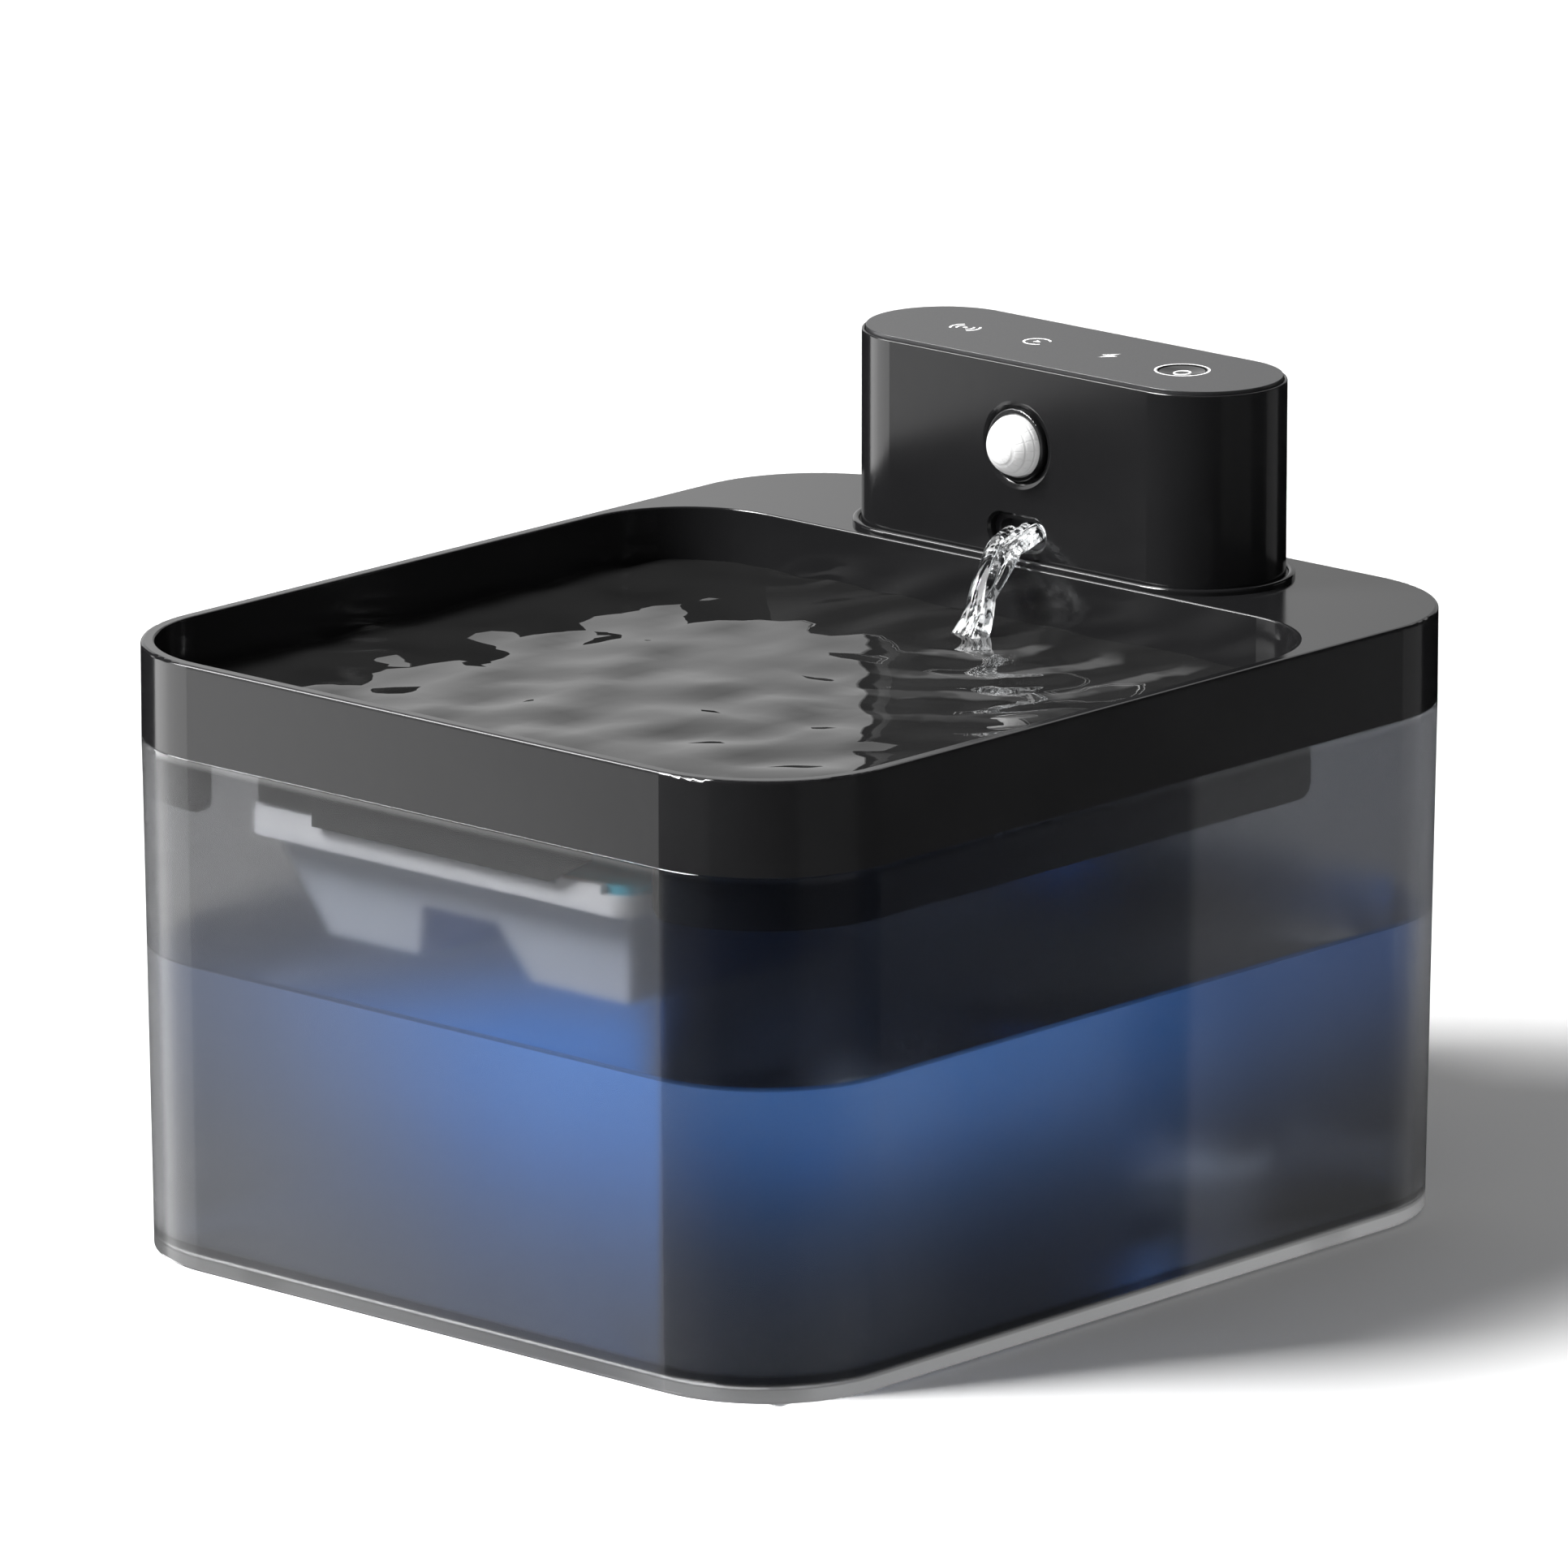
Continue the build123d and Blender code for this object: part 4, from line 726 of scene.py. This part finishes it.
FINISHES = {
    make_smoke: ("tank",),
    make_rubber: ("foot_pads", "pump_cable", "port_cap"),
    make_tray_black: ("drinking_tray", "drain_grille"),
    make_seal: ("socket_seal",),
    make_filter_white: ("filter_box",),
    make_cartridge: ("cartridge_base", "cartridge_lid"),
    make_media: ("filter_media",),
    make_gloss_black: ("head_shell", "power_button"),
    make_panel_satin: ("top_panel",),
    make_print_white: ("panel_icons",),
    make_ring_print: ("power_ring",),
    make_lens_white: ("pir_lens",),
    make_inner_black: (
        "tact_switch",
        "pir_holder",
        "nozzle",
        "head_base",
        "pump_column",
        "pump_body",
        "pump_cover",
        "battery_cradle",
        "strainer_cover",
        "impeller",
    ),
    make_silicone: ("riser_tube",),
    make_steel: ("shell_screws", "column_screws", "impeller_shaft", "touch_springs"),
    make_clear_lens: ("light_lens", "indicator_leds"),
    make_board: ("pir_board", "light_board", "main_board", "charge_board"),
    make_can_metal: ("pir_sensor", "charge_socket"),
    make_copper: ("motor_coil",),
    make_cell_wrap: ("battery_cell",),
    make_sponge: ("pump_sponge",),
}


def paint(*makers):
    """Gives the frame's nodes their finishes."""
    for maker in makers:
        material = maker().material
        for node in FINISHES[maker]:
            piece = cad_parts[node]
            piece.data.materials.clear()
            piece.data.materials.append(material)


# ---------------------------------------------------------------- modelling helpers
def clear_selection():
    if bpy.context.object and bpy.context.object.mode != "OBJECT":
        bpy.ops.object.mode_set(mode="OBJECT")
    bpy.ops.object.select_all(action="DESELECT")


def only(piece):
    clear_selection()
    piece.select_set(True)
    bpy.context.view_layer.objects.active = piece


def named(name):
    piece = bpy.context.object
    piece.name = name
    piece.data.name = name
    return piece


def settle(piece):
    """Puts a piece's place, turn and scale into its mesh."""
    only(piece)
    bpy.ops.object.transform_apply(location=True, rotation=True, scale=True)


def apply_modifiers(piece):
    only(piece)
    for modifier in list(piece.modifiers):
        bpy.ops.object.modifier_apply(modifier=modifier.name)


def pick_edges(piece, test):
    """Selects the edges whose middle and direction pass the test, in edit mode."""
    only(piece)
    bpy.ops.object.mode_set(mode="EDIT")
    bpy.ops.mesh.select_mode(type="EDGE")
    bpy.ops.mesh.select_all(action="DESELECT")
    bpy.ops.object.mode_set(mode="OBJECT")
    points = piece.data.vertices
    for edge in piece.data.edges:
        a, b = (points[index].co for index in edge.vertices)
        edge.select = bool(test((a + b) / 2, b - a))
    bpy.ops.object.mode_set(mode="EDIT")


def rounded_block(name, low, high, front_radius, back_radius, foot, taper=0.0):
    """A block with rounded upright corners, a rounded foot and a slight taper downwards."""
    clear_selection()
    centre = (low + high) / 2
    extent = high - low
    bpy.ops.mesh.primitive_cube_add(size=1, location=centre, scale=extent)
    block = named(name)
    settle(block)
    for is_front, radius in ((True, front_radius), (False, back_radius)):
        pick_edges(
            block,
            lambda middle, run, front=is_front: abs(run.z) > extent.z / 2
            and (middle.y < centre.y) == front
            and abs(abs(middle.x - centre.x) - extent.x / 2) < 1e-5
            and abs(abs(middle.y - centre.y) - extent.y / 2) < 1e-5,
        )
        bpy.ops.mesh.bevel(offset=radius, segments=20, affect="EDGES", clamp_overlap=False)
        bpy.ops.object.mode_set(mode="OBJECT")
    if taper:
        for point in block.data.vertices:
            if point.co.z < centre.z:
                point.co.x -= math.copysign(taper, point.co.x - centre.x)
                point.co.y -= math.copysign(taper, point.co.y - centre.y)
    pick_edges(block, lambda middle, run: middle.z < low.z + 1e-6 and abs(run.z) < 1e-6)
    bpy.ops.mesh.bevel(offset=foot, segments=4, affect="EDGES")
    bpy.ops.mesh.select_all(action="SELECT")
    bpy.ops.mesh.normals_make_consistent(inside=False)
    bpy.ops.object.mode_set(mode="OBJECT")
    return block


def dress(piece, finish, body):
    """Gives a new piece its finish and its body."""
    piece.data.materials.clear()
    piece.data.materials.append(finish.material)
    only(piece)
    bpy.ops.object.shade_smooth_by_angle(angle=math.radians(40))
    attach(piece, body)


# ---------------------------------------------------------------- frame finishes
class FOUNTAIN_OT_tank(bpy.types.Operator):
    """Finishes the smoky tank and its foot pads"""

    bl_idname = "fountain.tank"
    bl_label = "Tank"

    def execute(self, context):
        paint(make_smoke, make_rubber)
        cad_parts["tank"].visible_shadow = False
        return {"FINISHED"}


class FOUNTAIN_OT_tray(bpy.types.Operator):
    """Finishes the drinking tray, its grille and the seal of its socket"""

    bl_idname = "fountain.tray"
    bl_label = "Drinking tray"

    def execute(self, context):
        paint(make_tray_black, make_seal)
        return {"FINISHED"}


class FOUNTAIN_OT_filter(bpy.types.Operator):
    """Finishes the filter box, the cartridge and its grains"""

    bl_idname = "fountain.filter"
    bl_label = "Filter"

    def execute(self, context):
        paint(make_filter_white, make_cartridge, make_media)
        return {"FINISHED"}


class FOUNTAIN_OT_head(bpy.types.Operator):
    """Finishes the head's shell, panel, icons and sensor lens"""

    bl_idname = "fountain.head"
    bl_label = "Head"

    def execute(self, context):
        paint(
            make_gloss_black,
            make_panel_satin,
            make_print_white,
            make_ring_print,
            make_lens_white,
        )
        return {"FINISHED"}


class FOUNTAIN_OT_works(bpy.types.Operator):
    """Finishes the pump, the battery, the boards and the fastenings"""

    bl_idname = "fountain.works"
    bl_label = "Inner works"

    def execute(self, context):
        paint(
            make_inner_black,
            make_silicone,
            make_steel,
            make_clear_lens,
            make_board,
            make_can_metal,
            make_copper,
            make_cell_wrap,
            make_sponge,
        )
        return {"FINISHED"}


# ---------------------------------------------------------------- power mark
class FOUNTAIN_OT_power_mark(bpy.types.Operator):
    """Adds the small ring printed in the dish of the power key"""

    bl_idname = "fountain.power_mark"
    bl_label = "Power mark"

    def execute(self, context):
        dish_depth = 0.00044
        flatten = (1.0, 1.2, 0.6)
        low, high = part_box("power_button")
        centre = Vector(((low.x + high.x) / 2, (low.y + high.y) / 2, high.z - dish_depth))
        clear_selection()
        bpy.ops.mesh.primitive_torus_add(
            location=centre,
            major_radius=0.00165,
            minor_radius=0.00022,
            major_segments=48,
            minor_segments=10,
        )
        mark = named("power_mark")
        bpy.ops.object.mode_set(mode="EDIT")
        bpy.ops.transform.resize(value=flatten)
        bpy.ops.object.mode_set(mode="OBJECT")
        settle(mark)
        dress(mark, make_print_white(), "power_button")
        return {"FINISHED"}


# ---------------------------------------------------------------- water
def wave_height(x, y, landing_x, landing_y):
    """Height of the drinking water's waves: rings round the stream and crossing swells."""
    ring_start, ring_reach, calm_reach = 0.003, 0.070, 0.045
    shortest, longest, count = 0.011, 0.034, 34
    setup = sizes()
    away = np.hypot(x - landing_x, y - landing_y)
    ring = 2 * math.pi * away / setup.ripple_length
    fade = np.exp(-away / ring_reach) * (1 - np.exp(-away / ring_start))
    height = setup.ripple_height * np.cos(ring) * fade
    dice = random.Random(7)
    swell = np.zeros_like(height)
    for _ in range(count):
        length = dice.uniform(shortest, longest)
        heading = dice.uniform(0, 2 * math.pi)
        phase = dice.uniform(0, 2 * math.pi)
        number = 2 * math.pi / length
        size = setup.swell_slope / number * math.sqrt(2 / count)
        across = (x * math.cos(heading) + y * math.sin(heading)) * number
        swell += size * np.sin(across + phase)
    calm = 1 - 0.75 * np.exp(-((away / calm_reach) ** 2))
    return height + swell * calm


class FOUNTAIN_OT_basin_water(bpy.types.Operator):
    """Adds the drinking water with its rings and swells"""

    bl_idname = "fountain.basin_water"
    bl_label = "Drinking water"

    def execute(self, context):
        crest_room, overlap, sheet_depth = 0.004, 0.004, 0.009
        setup = sizes()
        gap = setup.basin_gap
        low = Vector((-BASIN_HALF_WIDTH + gap, BASIN_FRONT + gap, BASIN_FLOOR + gap))
        high = Vector((BASIN_HALF_WIDTH - gap, BASIN_BACK - gap, setup.basin_level + crest_room))
        radii = (BASIN_FRONT_RADIUS - gap, BASIN_BACK_RADIUS - gap)
        trim = rounded_block("trim", low, high, *radii, BASIN_FOOT_RADIUS)
        clear_selection()
        centre = (low + high) / 2
        extent = high - low
        bpy.ops.mesh.primitive_grid_add(
            x_subdivisions=230,
            y_subdivisions=216,
            size=1,
            location=(centre.x, centre.y, setup.basin_level),
            scale=(extent.x + overlap, extent.y + overlap, 1),
        )
        water = named("basin_water")
        settle(water)
        count = len(water.data.vertices)
        places = np.zeros(count * 3)
        water.data.vertices.foreach_get("co", places)
        places = places.reshape(-1, 3)
        landing_x, landing_y, _ = setup.landing
        places[:, 2] += wave_height(places[:, 0], places[:, 1], landing_x, landing_y)
        water.data.vertices.foreach_set("co", places.ravel())
        only(water)
        bpy.ops.object.mode_set(mode="EDIT")
        bpy.ops.mesh.select_all(action="SELECT")
        bpy.ops.mesh.extrude_region_move(TRANSFORM_OT_translate={"value": (0, 0, -sheet_depth)})
        bpy.ops.mesh.select_all(action="SELECT")
        bpy.ops.mesh.normals_make_consistent(inside=False)
        bpy.ops.object.mode_set(mode="OBJECT")
        cut = water.modifiers.new("trim", "BOOLEAN")
        cut.operation = "INTERSECT"
        cut.solver = "EXACT"
        cut.object = trim
        apply_modifiers(water)
        bpy.data.objects.remove(trim)
        dress(water, make_basin_water(), "tray")
        return {"FINISHED"}


class FOUNTAIN_OT_tank_water(bpy.types.Operator):
    """Adds the water in the tank"""

    bl_idname = "fountain.tank_water"
    bl_label = "Tank water"

    def execute(self, context):
        setup = sizes()
        foot_radius = 0.0014
        _, tank_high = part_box("tank")
        draw_in = TANK_LEAN * (TANK_TOP - setup.tank_level)
        half_x = tank_high.x - TANK_WALL - draw_in - setup.tank_gap
        half_y = tank_high.y - TANK_WALL - draw_in - setup.tank_gap
        floor = TANK_FLOOR + setup.tank_gap
        low = Vector((-half_x, -half_y, floor))
        high = Vector((half_x, half_y, setup.tank_level))
        taper = TANK_LEAN * (setup.tank_level - floor)
        corner = TANK_CORNER - TANK_WALL
        water = rounded_block("tank_water", low, high, corner, corner, foot_radius, taper)
        dress(water, make_lit_water(), "tank")
        return {"FINISHED"}


class FOUNTAIN_OT_stream(bpy.types.Operator):
    """Adds the stream that falls from the spout, as strands fused into one body of water"""

    bl_idname = "fountain.stream"
    bl_label = "Stream"

    def execute(self, context):
        setup = sizes()
        dice = random.Random(11)
        landing = Vector(setup.landing)
        nozzle_low, nozzle_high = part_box("nozzle")
        start = Vector((0.0, nozzle_low.y + 0.0016, (nozzle_low.z + nozzle_high.z) / 2 - 0.0004))
        half_spread, waist, sway, lift, sink = 0.0047, 0.55, 0.0009, 0.0007, 0.0012
        strands = []
        steps = 12
        for number in range(setup.strand_count):
            lane = (number - (setup.strand_count - 1) / 2) / (setup.strand_count - 1) * 2
            phase = dice.uniform(0, 2 * math.pi)
            swing = dice.uniform(0.5, 1.1)
            thick = dice.uniform(0.75, 1.2)
            clear_selection()
            bpy.ops.curve.primitive_nurbs_path_add()
            strand = named(f"strand_{number}")
            spline = strand.data.splines[0]
            spline.points.add(steps + 1 - len(spline.points))
            for index, point in enumerate(spline.points):
                along = index / steps
                narrow = math.sin(math.pi * min(1.0, along * 0.9)) ** 0.8
                spread = half_spread * (1 - waist * narrow)
                twist = math.sin(along * 7.0 * swing + phase)
                x = start.x + (landing.x - start.x) * along + spread * lane + twist * sway
                y = start.y + (landing.y - start.y) * along
                y += math.cos(along * 6.0 * swing + phase) * sway
                z = start.z - (start.z - landing.z + sink) * along**2.1
                z += math.cos(along * 8.0 + phase) * lift * (1 - along * 0.6)
                point.co = (x, y, z, 1.0)
                point.radius = thick * (1.0 + 0.25 * math.sin(along * 9 + phase))
            spline.order_u = 4
            spline.use_endpoint_u = True
            strand.data.bevel_depth = setup.strand_radius
            strand.data.bevel_resolution = 3
            strand.data.use_fill_caps = True
            strand.data.resolution_u = 8
            bpy.ops.object.convert(target="MESH")
            strands.append(bpy.context.object)
        only(strands[0])
        for strand in strands:
            strand.select_set(True)
        bpy.ops.object.join()
        stream = named("stream")
        settle(stream)
        fuse = stream.modifiers.new("fuse", "REMESH")
        fuse.mode = "VOXEL"
        fuse.voxel_size = 0.00028
        soften = stream.modifiers.new("soften", "SMOOTH")
        soften.factor = 0.5
        soften.iterations = 3
        apply_modifiers(stream)
        dress(stream, make_stream_water(), "head")
        only(stream)
        bpy.ops.object.shade_smooth()
        return {"FINISHED"}


# ---------------------------------------------------------------- stage
CAMERA_SIDE = 42.28
CAMERA_RISE = 14.276
CAMERA_DISTANCE = 3.309953
CAMERA_TARGET = Vector((0.002037, -0.004939, 0.099074))
CAMERA_FOCUS = 19142.321


def heading(side, rise):
    """A direction: side in degrees from the front towards the right, rise above the floor."""
    turn, lift = math.radians(side), math.radians(rise)
    return Vector(
        (
            math.sin(turn) * math.cos(lift),
            -math.cos(turn) * math.cos(lift),
            math.sin(lift),
        )
    )


def card(name, side, rise, width, height, brightness, distance=8, edge=None, dim=0.0):
    """A glowing card that only gloss sees; edge is where it dims, in shares of its width."""
    clear_selection()
    towards = heading(side, rise)
    centre = towards * distance + CAMERA_TARGET
    bpy.ops.mesh.primitive_plane_add(size=1, location=centre, scale=(width, height, 1))
    sheet = named(name)
    sheet.rotation_euler = towards.to_track_quat("Z", "Y").to_euler()
    sheet.scale = (width, height, 1)
    sheet.visible_camera = False
    sheet.visible_diffuse = False
    sheet.visible_transmission = False
    sheet.visible_shadow = False
    material = bpy.data.materials.new(name)
    material.use_nodes = True
    nodes = material.node_tree.nodes
    nodes.clear()
    glow = nodes.new("ShaderNodeEmission")
    glow.inputs["Strength"].default_value = brightness
    if edge:
        place = nodes.new("ShaderNodeTexCoord")
        parts = nodes.new("ShaderNodeSeparateXYZ")
        fade = nodes.new("ShaderNodeMapRange")
        fade.interpolation_type = "SMOOTHSTEP"
        settings = (edge[0], edge[1], brightness, brightness * dim)
        for socket, value in zip(fade.inputs[1:5], settings):
            socket.default_value = value
        links = material.node_tree.links
        links.new(place.outputs["Object"], parts.inputs[0])
        links.new(parts.outputs[0], fade.inputs[0])
        links.new(fade.outputs[0], glow.inputs["Strength"])
    end = nodes.new("ShaderNodeOutputMaterial")
    material.node_tree.links.new(glow.outputs[0], end.inputs["Surface"])
    sheet.data.materials.append(material)


def lamps_only(sheet):
    """Leaves a sheet in nothing but the way of the lamps."""
    sheet.visible_camera = False
    sheet.visible_diffuse = False
    sheet.visible_glossy = False
    sheet.visible_transmission = False


def shade_sheet(name, first, second):
    """An upright sheet that only blocks lamps, as the smoky walls do behind what they hold."""
    low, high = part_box("tank")
    clear_selection()
    centre = (Vector(first) + Vector(second)) / 2
    run = Vector(second) - Vector(first)
    bpy.ops.mesh.primitive_plane_add(size=1, location=(*centre, (low.z + high.z) / 2))
    sheet = named(name)
    sheet.scale = (run.length, high.z - low.z - 0.002, 1)
    sheet.rotation_euler = (math.radians(90), 0, math.atan2(run.y, run.x))
    lamps_only(sheet)


def lamp(name, side, rise, distance, width, power):
    """A square area lamp that faces the fountain."""
    light = bpy.data.lights.new(name, "AREA")
    light.shape = "SQUARE"
    light.size = width
    light.energy = power
    holder = bpy.data.objects.new(name, light)
    bpy.context.scene.collection.objects.link(holder)
    holder.location = heading(side, rise) * distance + CAMERA_TARGET
    holder.rotation_euler = heading(side, rise).to_track_quat("Z", "Y").to_euler()
    holder.visible_camera = False


class FOUNTAIN_OT_stage(bpy.types.Operator):
    """Adds the camera, the floor, the lamps and the cards"""

    bl_idname = "fountain.stage"
    bl_label = "Studio"

    def execute(self, context):
        scene = context.scene
        scene.view_settings.view_transform = "Standard"
        scene.view_settings.look = "None"

        lens = bpy.data.cameras.new("camera")
        lens.sensor_width = 36.0
        lens.lens = CAMERA_FOCUS / IMAGE_SIDE * lens.sensor_width
        lens.clip_start = 0.01
        lens.clip_end = 100.0
        camera = bpy.data.objects.new("camera", lens)
        scene.collection.objects.link(camera)
        towards = heading(CAMERA_SIDE, CAMERA_RISE)
        camera.location = CAMERA_TARGET + towards * CAMERA_DISTANCE
        camera.rotation_euler = towards.to_track_quat("Z", "Y").to_euler()
        scene.camera = camera

        world = bpy.data.worlds.new("studio")
        world.use_nodes = True
        background = world.node_tree.nodes["Background"]
        background.inputs["Color"].default_value = (1.0, 1.0, 1.0, 1.0)
        background.inputs["Strength"].default_value = 0.30
        world.cycles_visibility.glossy = False
        scene.world = world

        clear_selection()
        bpy.ops.mesh.primitive_plane_add(size=14, location=(0, 0, 0))
        floor = named("floor")
        floor.visible_glossy = False
        paper = Finish("floor_paper", ior=1.4, specular_ior_level=0.1)
        fibre = paper.grain(30.0, 4.0)
        paper.set("Base Color", paper.blend(fibre, grey(0.80), grey(0.82)))
        paper.set("Roughness", fibre * 0.1 + 0.85)
        floor.data.materials.append(paper.material)

        low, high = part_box("tank")
        inset = 0.003
        corner = 0.030
        cut = 0.0125
        turns = (
            (low.x + corner, high.y - inset),
            (high.x - corner, high.y - inset),
            (high.x - cut, high.y - cut),
            (high.x - inset, high.y - corner),
            (high.x - inset, low.y + corner),
            (high.x - cut, low.y + cut),
        )
        for number, (start, end) in enumerate(zip(turns, turns[1:])):
            shade_sheet(f"shade_{number}", start, end)
        clear_selection()
        bpy.ops.mesh.primitive_plane_add(size=1, location=(0, 0, inset / 2))
        ground = named("ground_shade")
        ground.scale = (high.x - low.x - 7 * inset, high.y - low.y - 7 * inset, 1)
        lamps_only(ground)

        lamp("key", -36, 44, distance=5.0, width=1.75, power=600)
        # Each card: side and rise in degrees, width and height in metres, brightness.
        card("front_card", -53.5, -14, 3.84, 10.0, 2.45, edge=(0.293, 0.481), dim=0.15)
        card("low_card", -20, -14, 5.8, 10.0, 0.10)
        card("strip", -76, -14, 1.8, 3.4, 2.8, distance=6)
        card("rim_card", -62, 44, 2.6, 6.5, 14.0)
        card("side_card", 90, -14, 6.4, 9.0, 0.08)
        card("far_card", 152, -14, 3.7, 8.0, 0.22, edge=(-0.43, -0.492))
        card("back_card", -140, 14, 9.0, 4.6, 0.88, edge=(0.09, -0.05), dim=0.51)
        card("high_card", -140, 45, 9.0, 5.4, 0.9)
        card("dish_card", -92, -29, 2.2, 1.4, 10.0, distance=6)
        return {"FINISHED"}


class FOUNTAIN_PT_panel(bpy.types.Panel):
    """Lists the pieces of the fountain"""

    bl_idname = "FOUNTAIN_PT_panel"
    bl_label = "Pet water fountain"
    bl_space_type = "VIEW_3D"
    bl_region_type = "UI"
    bl_category = "Fountain"

    def draw(self, context):
        for step in STEPS:
            self.layout.operator(step.bl_idname)
        for group in (context.scene.fountain_sizes, context.scene.fountain_colours):
            for key in group.__annotations__:
                self.layout.prop(group, key)


STEPS = (
    FOUNTAIN_OT_stage,
    FOUNTAIN_OT_tank,
    FOUNTAIN_OT_tray,
    FOUNTAIN_OT_filter,
    FOUNTAIN_OT_head,
    FOUNTAIN_OT_works,
    FOUNTAIN_OT_power_mark,
    FOUNTAIN_OT_basin_water,
    FOUNTAIN_OT_tank_water,
    FOUNTAIN_OT_stream,
)


def register():
    bpy.utils.register_class(FountainSizes)
    bpy.utils.register_class(FountainColours)
    bpy.types.Scene.fountain_sizes = bpy.props.PointerProperty(type=FountainSizes)
    bpy.types.Scene.fountain_colours = bpy.props.PointerProperty(type=FountainColours)
    for step in STEPS:
        bpy.utils.register_class(step)
    bpy.utils.register_class(FOUNTAIN_PT_panel)


def unregister():
    bpy.utils.unregister_class(FOUNTAIN_PT_panel)
    for step in reversed(STEPS):
        bpy.utils.unregister_class(step)
    del bpy.types.Scene.fountain_colours
    del bpy.types.Scene.fountain_sizes
    bpy.utils.unregister_class(FountainColours)
    bpy.utils.unregister_class(FountainSizes)


def main():
    """Builds the whole scene."""
    register()
    for step in STEPS:
        group, action = step.bl_idname.split(".")
        getattr(getattr(bpy.ops, group), action)()


if __name__ == "__main__":
    main()
